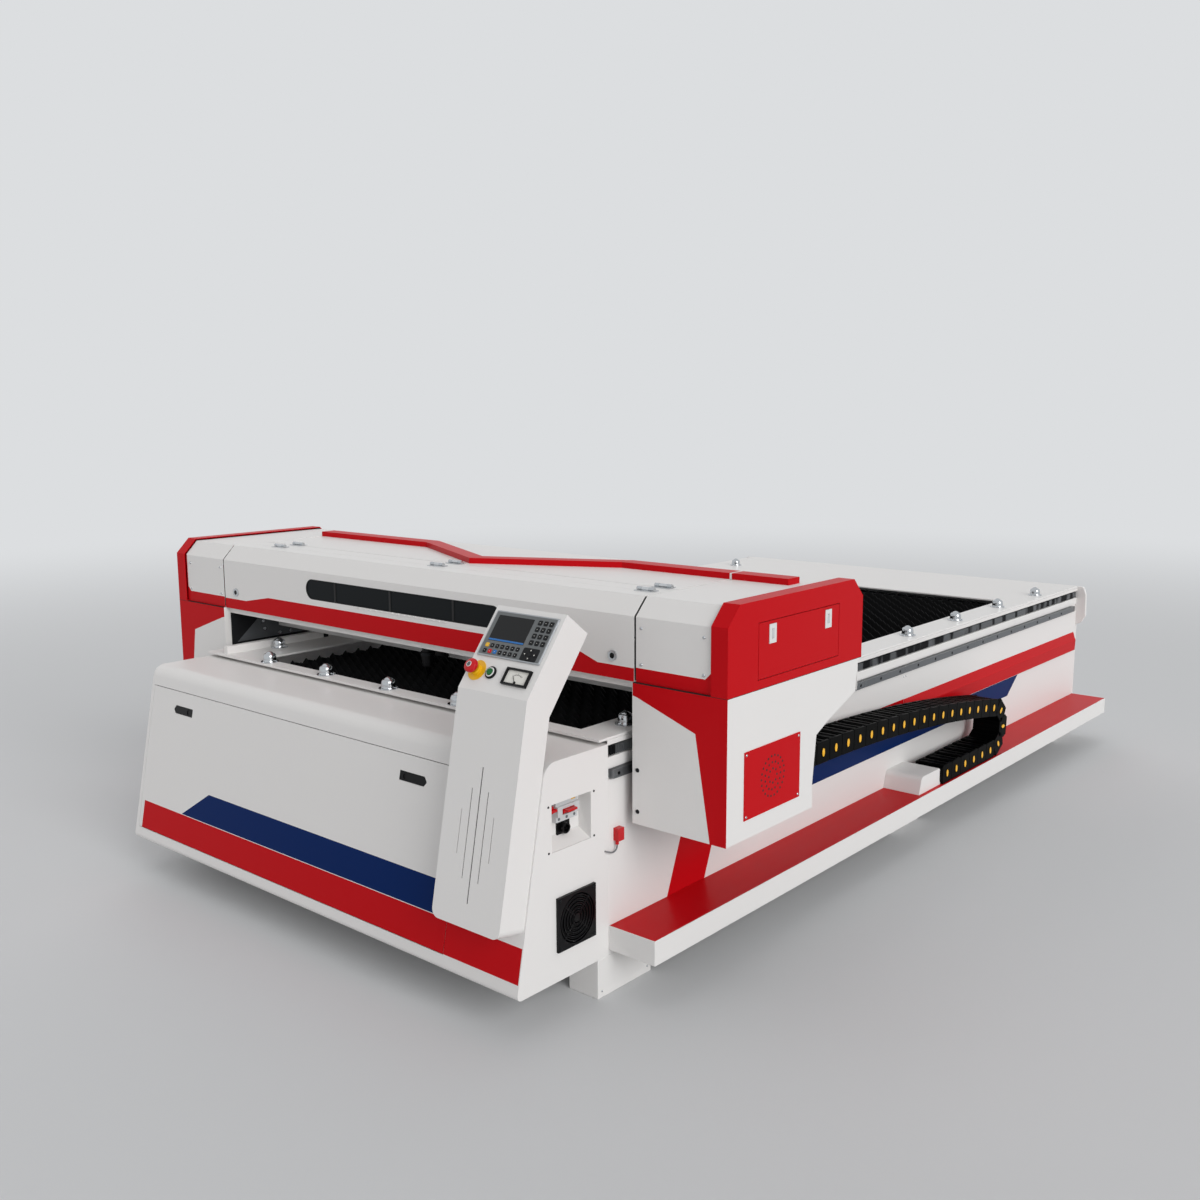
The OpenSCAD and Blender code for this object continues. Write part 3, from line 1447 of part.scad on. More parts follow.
module head_carriage() {
    half = 45;
    z0 = xrail_z - 34;
    color("silver") in_place() {
        difference() {
            box(-half, half, carriage_y, cross_y - 3, z0, xrail_z + 34);
            box(-half - 1, half + 1, cross_y - rail_h - slide_gap, cross_y + 1,
                xrail_z - rail_w / 2 - slide_gap, xrail_z + rail_w / 2 + slide_gap);
        }
        box(-60, 60, carriage_y - head_plate_t, carriage_y, z0 - 20, belt_z + 8);
        difference() {
            box(-18, 18, carriage_y - eps, belt_y + belt_w + 4,
                belt_z - pulley_r - belt_t - 6, belt_z - pulley_r + 4);
            box(-19, 19, belt_y - slide_gap, belt_y + belt_w + slide_gap,
                belt_z - pulley_r - belt_t - 2 * slide_gap, belt_z - pulley_r);
        }
        for (x = [-28, 28])
            box(x - 6, x + 6, carriage_y - head_plate_t - 6, carriage_y - head_plate_t, z0 - 20, belt_z);
    }
}

// Lens barrel and nozzle on a plate that slides on the carriage's ways
module laser_head() {
    plate_y = carriage_y - head_plate_t - 6 - slide_gap;
    top = nozzle_tip + 150;
    color("black") in_place() {
        difference() {
            box(-40, 40, plate_y - 8, plate_y + 5, top - 95, top + 10);
            for (x = [-28, 28])
                box(x - 6 - slide_gap, x + 6 + slide_gap, plate_y, plate_y + 10, top - 100, top + 20);
        }
        box(-14, 14, lens_y, plate_y - 7, top - 60, top - 20);
        translate([0, lens_y, 0]) {
            translate([0, 0, nozzle_tip + 30]) cylinder(h = top - nozzle_tip - 30, r = barrel_d / 2);
            translate([0, 0, nozzle_tip]) cylinder(h = 30 + eps, r1 = 5, r2 = 12, $fn = 64);
            translate([0, 0, nozzle_tip + 60]) cylinder(h = 18, r = barrel_d / 2 + 4);
        }
        box(-24, 24, lens_y - 24, lens_y + 24, top, top + 46);
    }
}

// ---------------------------------------------------------------- nodes

bed_sides();
bed_rear_wall();
bed_underframe();
bed_plate();
blades();
ball_transfers();
feet();
cabinet_shell();
cabinet_sides();
power_panel();
breaker();
inlet_socket();
fan_housing();
chain_shelf();
chain_anchor();
cable_chain();
y_rails();
y_racks();
side_mouldings();
limit_switch();
limit_lead();
console();
controller();
button_bezels();
ammeter();
front_door();
door_pull_left();
door_pull_right();
breaker_toggle();
fan_rotor();
estop_head();
start_button();
meter_needle();
gantry_beam();
legs();
vent_plates();
end_caps();
end_covers();
top_spine();
x_rail();
x_belt();
laser_tube();
beam_optics();
stepper_motors();
guide_blocks();
lid_hinges();
front_lid();
rear_lid();
cam_lock_left();
cam_lock_right();
hatch_left();
hatch_right();
latches_left();
latches_right();
head_carriage();
laser_head();
motor_pulley();
idler_pulley();
pinion_left();
pinion_right();
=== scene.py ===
"""Finishes and fine detail for a moving-gantry laser engraving machine.

Places are given in the machine's own millimetres: X across, Y back from the seam between
cabinet and bed, Z up from the cabinet's underside. at() turns them into the frame's metres.
"""
import json
import math

import bmesh
import bpy
from mathutils import Euler, Matrix, Vector


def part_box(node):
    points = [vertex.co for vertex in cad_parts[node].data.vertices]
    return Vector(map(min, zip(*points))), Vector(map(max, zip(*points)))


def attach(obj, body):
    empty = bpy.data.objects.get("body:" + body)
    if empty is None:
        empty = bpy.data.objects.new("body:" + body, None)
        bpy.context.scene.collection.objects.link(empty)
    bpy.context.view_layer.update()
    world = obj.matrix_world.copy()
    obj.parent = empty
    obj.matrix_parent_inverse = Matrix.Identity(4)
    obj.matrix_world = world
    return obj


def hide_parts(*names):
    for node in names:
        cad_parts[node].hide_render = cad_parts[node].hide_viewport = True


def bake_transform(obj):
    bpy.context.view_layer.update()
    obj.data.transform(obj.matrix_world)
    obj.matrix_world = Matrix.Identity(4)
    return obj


bl_info = {
    "name": "Laser Engraving Machine",
    "version": (1, 0, 0),
    "blender": (4, 5, 0),
    "location": "View3D > Sidebar > Engraver",
    "description": "Finishes and fine detail for a moving-gantry laser engraving machine",
    "category": "Object",
}

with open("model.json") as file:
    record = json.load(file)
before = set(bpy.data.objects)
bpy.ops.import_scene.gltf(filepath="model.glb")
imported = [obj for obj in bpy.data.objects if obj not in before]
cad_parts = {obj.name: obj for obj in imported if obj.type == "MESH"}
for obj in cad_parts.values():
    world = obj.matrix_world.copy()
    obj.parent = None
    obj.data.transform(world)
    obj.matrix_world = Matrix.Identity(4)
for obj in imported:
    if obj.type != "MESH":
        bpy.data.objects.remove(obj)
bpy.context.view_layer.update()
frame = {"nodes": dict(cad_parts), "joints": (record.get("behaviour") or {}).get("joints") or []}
NODES = frame["nodes"]
JOINTS = {joint["name"]: joint for joint in frame["joints"]}

MM = 0.001
SEAM_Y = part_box("bed_sides")[0].y
UNDER_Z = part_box("cabinet_shell")[0].z
LEFT, RIGHT, FORWARD, BACKWARD, UP = (-1, 0, 0), (1, 0, 0), (0, -1, 0), (0, 1, 0), (0, 0, 1)
SIDES = ((-1, "left"), (1, "right"))


def at(x, y, z):
    """Point in the frame, in metres, from the machine's own millimetres."""
    return Vector((x * MM, SEAM_Y + y * MM, UNDER_Z + z * MM))


def span(node):
    """Lowest and highest corner of a node, in the machine's own millimetres."""
    return [Vector((p.x, p.y - SEAM_Y, p.z - UNDER_Z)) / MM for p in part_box(node)]


def local_frame(origin, u, v):
    """Matrix from a local frame in millimetres to the frame in metres."""
    u, v = Vector(u).normalized(), Vector(v).normalized()
    w = u.cross(v)
    rows = [[u[i] * MM, v[i] * MM, w[i] * MM, origin[i]] for i in range(3)]
    return Matrix(rows + [[0, 0, 0, 1]])


def lifted(place, height):
    """Frame moved along its own third axis."""
    return place @ Matrix.Translation((0, 0, height))


# Main sizes of the machine, read from its fixed parts
HALF_W = span("bed_sides")[1].x
BED_L = span("bed_sides")[1].y
BED_TOP = span("ball_transfers")[0].z
LEG_X = span("gantry_beam")[1].x
GAN_FRONT = span("end_caps")[0].y
GAN_REAR = span("end_caps")[1].y
GAN_LOW = span("end_caps")[0].z
GAN_HALF = span("end_caps")[1].x
COVER_TOP = span("top_spine")[1].z
LID_X = span("front_lid")[1].x
LID_FACE = span("front_lid")[0].y
CAP_IN = span("end_covers")[1].x
SKIN = 2.5                              # sheet's thickness
SHELF_TOP = span("chain_shelf")[1].z
SHELF_X = span("chain_shelf")[1].x
CHAIN_LOW, CHAIN_HIGH = span("cable_chain")
CHAIN_HALF = (CHAIN_HIGH.x - CHAIN_LOW.x) / 2
BEAM_SEAM = BED_L / 2 - 39              # joint between the two lengths of side beam
RAISED = COVER_TOP + 1.8                # strips and hinge leaves on the covers' top

# Front face of the cabinet and control face of the console, from the joints that lie in them
DOOR_UP = -Vector(JOINTS["door_pull_left_lift"]["axis"])
PRESS = Vector(JOINTS["estop_press"]["axis"])
CONTROL_UP = Vector((0, -PRESS.z, PRESS.y))
FRONT = local_frame(at(0, -363, 0), RIGHT, DOOR_UP)
BUTTON_S = 55                           # buttons, up the control face from its bend
NEEDLE_S, NEEDLE_O = 39.5, 4            # needle's pivot, up the face and out from it
PIVOT = Vector(JOINTS["needle_sweep"]["pos_m"])
BEND = PIVOT - CONTROL_UP * NEEDLE_S * MM + PRESS * NEEDLE_O * MM
CONSOLE_MID = (span("console")[0].x + span("console")[1].x) / 2
CONTROL_FACE = (local_frame(Vector((0, BEND.y, BEND.z)), RIGHT, CONTROL_UP)
                @ Matrix.Translation((CONSOLE_MID, 0, 0)))
KEY_TURN = Matrix.Rotation(CONTROL_UP.angle(Vector(BACKWARD)), 4, "X").to_euler()


# ---------------------------------------------------------------- sizes and colours

class EngraverColours(bpy.types.PropertyGroup):
    """Paint and plastic colours, as sRGB values."""

    white: bpy.props.StringProperty(
        name="White", description="Powder coat of the sheet metal", default="#E8E6E4")
    red: bpy.props.StringProperty(
        name="Red", description="Powder coat of the caps, bands and shelf", default="#C40E17")
    blue: bpy.props.StringProperty(
        name="Blue", description="Vinyl fields on the door and the side", default="#02245C")
    button: bpy.props.StringProperty(
        name="Chain button", description="Round pins of the chain links", default="#FFBE18")
    floor: bpy.props.StringProperty(
        name="Floor", description="Pale floor under the machine", default="#D3D4D5")
    backdrop: bpy.props.StringProperty(
        name="Backdrop", description="Pale background behind the machine", default="#DCDEE0")


class EngraverSizes(bpy.types.PropertyGroup):
    """Sizes of the fine detail."""

    fillet: bpy.props.FloatProperty(
        name="Sheet fold radius", description="Radius of folded sheet edges",
        default=0.0022, min=0.0005, max=0.006, unit="LENGTH")
    screw_head: bpy.props.FloatProperty(
        name="Screw head", description="Radius of a cover screw's head",
        default=0.0048, min=0.002, max=0.01, unit="LENGTH")
    link_count: bpy.props.IntProperty(
        name="Chain links", description="Number of links in the cable chain",
        default=30, min=10, max=60)
    peel: bpy.props.FloatProperty(
        name="Orange peel", description="Spacing of the powder coat's ripple",
        default=0.004, min=0.001, max=0.02, unit="LENGTH")


def colours():
    """The colours as they stand in the scene."""
    return bpy.context.scene.engraver_colours


def sizes():
    """The sizes as they stand in the scene."""
    return bpy.context.scene.engraver_sizes


# ---------------------------------------------------------------- materials

def linear(code):
    """Linear colour of an sRGB hex value."""
    parts = [int(code[i:i + 2], 16) / 255 for i in (1, 3, 5)]
    return tuple(p / 12.92 if p <= 0.04045 else ((p + 0.055) / 1.055) ** 2.4
                 for p in parts) + (1.0,)


def add(tree, kind, inputs=None, **settings):
    """Adds a node with its settings, and feeds its inputs with values or with other sockets."""
    made = tree.nodes.new(kind)
    for name, value in settings.items():
        setattr(made, name, value)
    for key, value in (inputs or {}).items():
        if isinstance(value, bpy.types.NodeSocket):
            tree.links.new(value, made.inputs[key])
        else:
            made.inputs[key].default_value = value
    return made


def surface(name, colour, roughness, grain, bump, metallic=0.0, wave=0.15, stretch=(1, 1, 1),
            **sockets):
    """Shader with a fine bump and an uneven gloss.

    grain is the pattern's real spacing in metres, and wave the share that the gloss varies by."""
    material = bpy.data.materials.new(name)
    material.use_nodes = True
    tree = material.node_tree
    tree.nodes.clear()
    place = add(tree, "ShaderNodeTexCoord").outputs["Object"]
    scaled = add(tree, "ShaderNodeMapping", {"Vector": place, "Scale": stretch}).outputs[0]
    fine = add(tree, "ShaderNodeTexNoise", {"Vector": scaled, "Scale": 1 / grain, "Detail": 2.0})
    broad = add(tree, "ShaderNodeTexNoise", {"Vector": place, "Scale": 3.0, "Detail": 3.0})
    gloss = add(tree, "ShaderNodeMapRange", {
        "Value": broad.outputs[0], "From Min": 0.3, "From Max": 0.7,
        "To Min": roughness * (1 - wave), "To Max": roughness * (1 + wave)})
    relief = add(tree, "ShaderNodeBump", {
        "Height": fine.outputs[0], "Strength": bump, "Distance": grain / 4})
    shader = add(tree, "ShaderNodeBsdfPrincipled", {
        "Base Color": linear(colour), "Roughness": gloss.outputs[0],
        "Normal": relief.outputs[0], "Metallic": metallic,
        **{label.replace("_", " "): value for label, value in sockets.items()}})
    shader.name = "Finish"
    add(tree, "ShaderNodeOutputMaterial", {"Surface": shader.outputs[0]})
    return material


def half_plane(tree, place, normal, point):
    """1 on the side of the plane that its normal points to."""
    dot = add(tree, "ShaderNodeVectorMath", {0: place, 1: normal}, operation="DOT_PRODUCT")
    return add(tree, "ShaderNodeMath", {0: dot.outputs["Value"], 1: normal.dot(point)},
               operation="GREATER_THAN").outputs[0]


def field_mask(tree, place, corners, outward):
    """1 inside a convex outline of points in the frame, seen against the outward direction."""
    depth = 0.0015                      # how far under the outline's plane the field still lies
    outward = Vector(outward).normalized()
    middle = sum(corners, Vector()) / len(corners)
    mask = None
    for a, b in zip(corners, corners[1:] + corners[:1]):
        normal = outward.cross(b - a).normalized()
        if normal.dot(middle - a) < 0:
            normal.negate()
        edge = half_plane(tree, place, normal, a)
        mask = edge if mask is None else add(
            tree, "ShaderNodeMath", {0: mask, 1: edge}, operation="MULTIPLY").outputs[0]
    skin = half_plane(tree, place, outward, middle - outward * depth)
    return add(tree, "ShaderNodeMath", {0: mask, 1: skin}, operation="MULTIPLY").outputs[0]


def overlay(tree, mask, **values):
    """Gives the finish other values where the mask is 1."""
    finish = tree.nodes["Finish"]
    for label, value in values.items():
        socket = finish.inputs[label.replace("_", " ")]
        colour = socket.type == "RGBA"
        first, second, result = (6, 7, 2) if colour else (2, 3, 0)
        under = socket.links[0].from_socket if socket.is_linked else socket.default_value
        mix = add(tree, "ShaderNodeMix", {0: mask, first: under, second: value},
                  data_type="RGBA" if colour else "FLOAT")
        tree.links.new(mix.outputs[result], socket)


def powder_coat(name, base, fields=(), mirrored=False):
    """Polyester powder coat: satin gloss with a faint orange peel, and painted or vinyl fields.

    fields are (colour, corners, outward), and may end with other values for the field."""
    material = surface(name, base, roughness=0.34, grain=sizes().peel, bump=0.04, wave=0.04,
                       Specular_IOR_Level=0.06)
    tree = material.node_tree
    place = tree.nodes["Texture Coordinate"].outputs["Object"]
    if mirrored:
        parts = add(tree, "ShaderNodeSeparateXYZ", {0: place})
        side = add(tree, "ShaderNodeMath", {0: parts.outputs[0]}, operation="ABSOLUTE")
        place = add(tree, "ShaderNodeCombineXYZ", {
            0: side.outputs[0], 1: parts.outputs[1], 2: parts.outputs[2]}).outputs[0]
    for colour, corners, outward, *more in fields:
        overlay(tree, field_mask(tree, place, corners, outward), Base_Color=linear(colour),
                **(more[0] if more else {}))
    return material


def livery(name, *fields, mirrored=False):
    """White powder coat with the fields of one part."""
    return powder_coat(f"powder_coat_{name}_livery", colours().white, fields, mirrored)


PAST = 5                                # how far a field runs past the wall that it covers
SEAM_SHADE = "#2E2D2D"                   # painted shade on what shows through the covers' seams
LEG_SHADE = "#232426"                    # painted shade on the inner face of the legs, where their interior opens
PANE_DARK = "#1D2022"                   # smoked pane of the front lid
SLOT_SHADE = "#0C0C0D"                   # painted shade in the depth of the console's louvres
LEAF = "#D5D7D9"                        # plated hinge leaves, with the values that go with it
PLATED = {"Metallic": 1.0, "Roughness": 0.14}


def rect(x0, x1, y0, y1):
    """Anticlockwise rectangle."""
    return [(x0, y0), (x1, y0), (x1, y1), (x0, y1)]


def front_points(points):
    """Corners on the cabinet's front face, from x and the height above the underside."""
    return [FRONT @ Vector((x, z / DOOR_UP.z, 0)) for x, z in points]


def plane_points(points, axis, level):
    """Corners on a plane across the given axis, from the two other machine coordinates."""
    order = {"x": lambda p: (level, p[0], p[1]), "y": lambda p: (p[0], level, p[1]),
             "z": lambda p: (p[0], p[1], level)}[axis]
    return [at(*order(p)) for p in points]


def front_livery():
    """White front with a red band along its foot and a blue field above it on the door."""
    out = -DOOR_UP.cross(Vector(RIGHT))
    band = front_points(rect(-912, HALF_W - 3, 44, 137))
    field = front_points([(-670, 139), (664, 139), (664, 232), (-523, 232)])
    return livery("front", (colours().red, band, out), (colours().blue, field, out))


def side_livery():
    """White side beams with a red band that drops to the shelf, and a blue field under it."""
    low, high = 310, 400
    drop = plane_points([(262, 80), (447, 80), (538, low), (573, high), (385, high)], "x", HALF_W)
    band = plane_points([(385, high), (420, low), (BEAM_SEAM, low), (BEAM_SEAM, high)],
                        "x", HALF_W)
    field = plane_points([(566, 225), (2733, 225), (2841, 303), (597, 303)], "x", HALF_W)
    return livery("side", (colours().red, drop, RIGHT), (colours().red, band, RIGHT),
                  (colours().blue, field, RIGHT), mirrored=True)


def leg_livery():
    """White legs: red around a white field in front, with painted shade inside and along the seam
    on top.
    """
    low, high = span("legs")[0].z - PAST, GAN_LOW + PAST
    x0, x1 = LEG_X - PAST, GAN_HALF + PAST
    wall = plane_points(rect(x0, x1, low, high), "y", GAN_FRONT)
    patch = plane_points([(x0, 731), (LEG_X + 9, 728), (1193, 660), (1243, low), (x0, low)],
                         "y", GAN_FRONT)
    # painted shade on the inner face of each leg, and on its top where the seams show it
    inner = plane_points(rect(GAN_FRONT + 26, GAN_REAR + PAST, low, high), "x", LEG_X - 1.2)
    seam = plane_points(rect(x0, x1, GAN_FRONT - PAST, GAN_REAR + PAST), "z", span("legs")[1].z)
    return livery("leg", (colours().red, wall, FORWARD), (colours().white, patch, FORWARD),
                  (LEG_SHADE, inner, LEFT), (SEAM_SHADE, seam, UP), mirrored=True)


def beam_livery():
    """White beam, with painted shade where it shows through the seams between the lids and the end
    covers.
    """
    # painted shade on the beam where the seams show it
    seam = plane_points(rect(LID_X - 4, LEG_X + 10, GAN_LOW - 3, COVER_TOP - 4), "y", GAN_REAR)
    return livery("beam", (SEAM_SHADE, seam, FORWARD), mirrored=True)


def lid_livery():
    """White front lid: red stepped band along its lower edge, plated hinge leaves, dark pane."""
    band_top = 804
    low = plane_points(rect(-LID_X, LID_X, GAN_LOW - 9, band_top), "y", LID_FACE)
    step = plane_points([(-853, band_top - 1), (856, band_top - 1), (780, 829), (-707, 829)],
                        "y", LID_FACE)
    leaves = plane_points(rect(-LID_X, LID_X, 150, 200), "z", RAISED)
    pane = plane_points(rect(-498, 498, 836, 934), "y", LID_FACE + SKIN + 1.4)
    return livery("front_lid", (colours().red, low, FORWARD), (colours().red, step, FORWARD),
                  (LEAF, leaves, UP, PLATED), (PANE_DARK, pane, BACKWARD, {"Roughness": 0.07}))


def rear_lid_livery():
    """White rear lid with a raised red strip, and plated hinge leaves."""
    strip = plane_points(rect(-LID_X, LID_X, 291, 600), "z", RAISED)
    leaves = plane_points(rect(-LID_X, LID_X, 250, 290), "z", RAISED)
    return livery("rear_lid", (colours().red, strip, UP), (LEAF, leaves, UP, PLATED))


def end_cover_livery():
    """White end covers, red below and beside the front panel and on the strip's end on top."""
    top = 1010
    wall = plane_points(rect(LEG_X, CAP_IN, GAN_LOW - PAST, top), "y", LID_FACE)
    panel = plane_points([(LEG_X, 807), (1218, 807), (1235, 824), (1235, top), (LEG_X, top)],
                         "y", LID_FACE)
    strip = plane_points(rect(LEG_X, CAP_IN, 500, 600), "z", RAISED)
    return livery("end_cover", (colours().red, wall, FORWARD), (colours().white, panel, FORWARD),
                  (colours().red, strip, UP), mirrored=True)


def console_livery():
    """White console, with painted shade inside its louvre slots."""
    low, high = span("console")
    depth = span("cabinet_shell")[0].y - low.y - 5
    # painted shade inside the louvre slots
    slots = [FRONT @ Vector((x, s, depth)) for x, s in rect(low.x + 4, high.x - 4, 200, 660)]
    return livery("console", (SLOT_SHADE, slots, -FRONT.col[2].to_3d()))


def shelf_livery():
    """White shelf with a red top."""
    top = plane_points(rect(HALF_W, SHELF_X - 2, 2, BED_L), "z", SHELF_TOP)
    return livery("shelf", (colours().red, top, UP))


def hobbed_steel():
    """Hobbed rack and pinion steel: mid grey, with darker oily stretches between brighter ones."""
    material = surface("hobbed_rack_steel", "#8A8C8E", roughness=0.4, grain=0.002, bump=0.15,
                       metallic=1.0, wave=0.25)
    tree = material.node_tree
    place = tree.nodes["Texture Coordinate"].outputs["Object"]
    long = add(tree, "ShaderNodeMapping", {"Vector": place, "Scale": (0.2, 1, 0.2)})
    stain = 0.05                        # metres from one oily stretch to the next
    cloud = add(tree, "ShaderNodeTexNoise", {
        "Vector": long.outputs[0], "Scale": 1 / stain, "Detail": 1.0})
    oily = add(tree, "ShaderNodeMapRange", {
        "Value": cloud.outputs[0], "From Min": 0.46, "From Max": 0.56})
    overlay(tree, oily.outputs[0], Base_Color=linear("#2E2F31"))
    return material


EVEN_FINISHES = {
    # Bright chrome plate on turned and pressed steel: mirror-like with hairline scratches
    "chrome_plate": dict(colour="#C6C9CC", roughness=0.1, grain=0.003, bump=0.03, metallic=1.0,
                         wave=0.4),
    # Ground bearing steel of rails and shafts: bright, with grinding marks along Y
    "ground_steel": dict(colour="#7E8184", roughness=0.3, grain=0.0015, bump=0.1, metallic=1.0,
                         stretch=(1, 0.05, 1)),
    # Cut steel with a black oxide finish: dark, with a dull metal sheen
    "black_oxide_steel": dict(colour="#2A2B2D", roughness=0.42, grain=0.002, bump=0.12,
                              metallic=1.0, wave=0.25),
    # Mild steel blades: dark from rolling scale and burning smoke, and darkened further to near
    # black as painted shade of the bed's deep interior
    "blade_steel_with_painted_shade": dict(colour="#0E0E0F", roughness=0.6, grain=0.004, bump=0.15, wave=0.3,
                               Specular_IOR_Level=0.15),
    # Clear anodised aluminium: fine matt grain with a soft metal sheen
    "anodised_aluminium": dict(colour="#B4B7BA", roughness=0.36, grain=0.0012, bump=0.08,
                               metallic=1.0),
    # Grey machine enamel on welded tube: brushed on a little unevenly
    "grey_frame_enamel": dict(colour="#5B5E61", roughness=0.45, grain=0.006, bump=0.15),
    # Glass-filled black nylon, injection moulded: dull, with a fine spark-eroded texture
    "moulded_black_nylon": dict(colour="#030303", roughness=0.42, grain=0.002, bump=0.1,
                                Specular_IOR_Level=0.04),
    # Black ABS mouldings and enamelled motors: smooth with a soft shine
    "moulded_black_abs": dict(colour="#08080A", roughness=0.32, grain=0.003, bump=0.05,
                              Specular_IOR_Level=0.2),
    # Red polycarbonate and ABS mouldings: clean gloss
    "moulded_red_abs": dict(colour="#C4121A", roughness=0.24, grain=0.003, bump=0.03,
                            Specular_IOR_Level=0.35),
    # Green lens of the start button: glossy and a little deep in colour
    "moulded_green_abs": dict(colour="#07642C", roughness=0.2, grain=0.003, bump=0.03,
                              Specular_IOR_Level=0.35),
    # Yellow ABS ring and collar under the emergency stop: soft gloss
    "moulded_yellow_abs": dict(colour="#EBB616", roughness=0.3, grain=0.003, bump=0.03),
    # Light grey ABS of the breaker: fine moulded grain
    "moulded_grey_abs": dict(colour="#C9CBCC", roughness=0.4, grain=0.002, bump=0.08),
    # White ABS of the latches: soft gloss
    "moulded_white_abs": dict(colour="#E2E2E0", roughness=0.3, grain=0.002, bump=0.04),
    # Black rubber of seals and of the belt: matt
    "black_rubber": dict(colour="#0E0E0F", roughness=0.7, grain=0.0015, bump=0.15),
    # Grey PVC sheath of the limit switch's lead: dull
    "grey_pvc_sheath": dict(colour="#77797B", roughness=0.45, grain=0.0012, bump=0.08),
    # Borosilicate glass of the laser tube: clear and thick-walled
    "borosilicate_glass": dict(colour="#DCE8EA", roughness=0.03, grain=0.05, bump=0.005, wave=0.3,
                               Transmission_Weight=0.92, IOR=1.47),
    # Dark front glass of the display: mirror-like
    "display_glass": dict(colour="#101112", roughness=0.1, grain=0.03, bump=0.005,
                          Specular_IOR_Level=0.3),
    # Blue bar at the foot of the display: glossy
    "display_blue_bar": dict(colour="#1D6CB4", roughness=0.15, grain=0.03, bump=0.005),
    # Dark membrane keys: fine matt film
    "membrane_key_black": dict(colour="#0D0E10", roughness=0.45, grain=0.001, bump=0.05,
                               Specular_IOR_Level=0.25),
    # Grey printed polyester film over the controller's face: matt, with a fine grain
    "printed_grey_film": dict(colour="#686B6C", roughness=0.42, grain=0.0012, bump=0.06),
    # Printed white card of the meter: dull
    "printed_dial_card": dict(colour="#E9E7E0", roughness=0.6, grain=0.001, bump=0.03),
}

OTHER_FINISHES = {
    # Sprayed and baked on sheet steel
    "powder_coat_white": lambda: powder_coat("powder_coat_white", colours().white),
    "powder_coat_red": lambda: powder_coat("powder_coat_red", colours().red),
    "hobbed_rack_steel": hobbed_steel,
    # Yellow nylon pins of the chain, moulded with a light gloss
    "moulded_yellow_nylon": lambda: surface(
        "moulded_yellow_nylon", colours().button, roughness=0.35, grain=0.002, bump=0.06),
}

FINISHES = {}


def finish_of(name):
    """Each finish is made once and then shared."""
    if name not in FINISHES:
        FINISHES[name] = (OTHER_FINISHES[name]() if name in OTHER_FINISHES
                          else surface(name, **EVEN_FINISHES[name]))
    return FINISHES[name]


# ---------------------------------------------------------------- meshes

PIECE_EDGE = math.radians(32)           # an edge sharper than this stays sharp, on a piece
COPY_EDGE = math.radians(35)            # and on copies of a shape


def prism(bm, outline, depth, place=Matrix(), chamfer=0.0):
    """Adds a closed prism on an outline in millimetres, with its far rim chamfered."""
    rings = [(outline, 0.0), (outline, depth - chamfer)]
    if chamfer:
        rings.append((shrunk(outline, chamfer), depth))
    made = [[bm.verts.new((x, y, z)) for x, y in ring] for ring, z in rings]
    bm.faces.new(made[0][::-1])
    bm.faces.new(made[-1])
    count = len(outline)
    for low, high in zip(made, made[1:]):
        for i in range(count):
            k = (i + 1) % count
            bm.faces.new((low[i], low[k], high[k], high[i]))
    bmesh.ops.transform(bm, matrix=place, verts=[v for ring in made for v in ring])


def shrunk(outline, by):
    """Anticlockwise outline drawn in by a distance."""
    count = len(outline)
    result = []
    for i in range(count):
        a, p, b = (Vector(outline[(i + k) % count]) for k in (-1, 0, 1))
        m = Vector((-(p - a).y, (p - a).x)).normalized()
        k = Vector((-(b - p).y, (b - p).x)).normalized()
        result.append(tuple(p + (m + k) * by / (1 + m.dot(k))))
    return result


def rounded(w, h, r, steps=4, cx=0.0, cy=0.0):
    """Anticlockwise rounded rectangle about a centre."""
    corners = [(w / 2 - r, h / 2 - r, 0), (-w / 2 + r, h / 2 - r, 90),
               (-w / 2 + r, -h / 2 + r, 180), (w / 2 - r, -h / 2 + r, 270)]
    points = []
    for x, y, start in corners:
        for i in range(steps + 1):
            a = math.radians(start + 90 * i / steps)
            points.append((cx + x + r * math.cos(a), cy + y + r * math.sin(a)))
    return points


def disc(r, steps=20, cx=0.0, cy=0.0, stretch=1.0):
    """Anticlockwise circle, or an upright ellipse."""
    return [(cx + r * math.cos(math.tau * i / steps),
             cy + r * stretch * math.sin(math.tau * i / steps)) for i in range(steps)]


def lathe(bm, profile, place=Matrix(), steps=24):
    """Turns a profile of (radius, height) about the local Z axis.

    The profile ends on the axis or where it began."""
    rings = []
    closed = profile[0] == profile[-1]
    for r, h in profile[:-1] if closed else profile:
        if r < 1e-6:
            rings.append([bm.verts.new((0, 0, h))])
        else:
            rings.append([bm.verts.new((r * math.cos(math.tau * i / steps),
                                        r * math.sin(math.tau * i / steps), h))
                          for i in range(steps)])
    for low, high in zip(rings, rings[1:] + rings[:1] if closed else rings[1:]):
        for i in range(steps):
            k = (i + 1) % steps
            corner = [low[0]] if len(low) == 1 else [low[i], low[k]]
            corner += [high[0]] if len(high) == 1 else [high[k], high[i]]
            bm.faces.new(corner)
    bmesh.ops.transform(bm, matrix=place, verts=[v for ring in rings for v in ring])


def mesh_of(name, bm):
    """Mesh with its faces outwards."""
    mesh = bpy.data.meshes.new(name)
    bmesh.ops.recalc_face_normals(bm, faces=bm.faces)
    bm.to_mesh(mesh)
    bm.free()
    return mesh


def shown(name, mesh, edge):
    """Shaded object of a mesh, linked to the scene."""
    mesh.shade_smooth()
    mesh.set_sharp_from_angle(angle=edge)
    made = bpy.data.objects.new(name, mesh)
    bpy.context.scene.collection.objects.link(made)
    return made


def carried(made, body):
    """Makes a piece ride on a body."""
    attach(made, body)
    return made


def piece(name, bm, finish, body):
    """Makes a mesh piece that rides on a body."""
    made = shown(name, mesh_of(name, bm), PIECE_EDGE)
    made.data.materials.append(finish_of(finish))
    return carried(made, body)


def cut_piece(name, finish, body, slot, *prisms):
    """Piece made of prisms, each given as outline, depth, place and chamfer."""
    bm = bmesh.new()
    for settings in prisms:
        prism(bm, *settings)
    return piece(name, bm, finish, body)


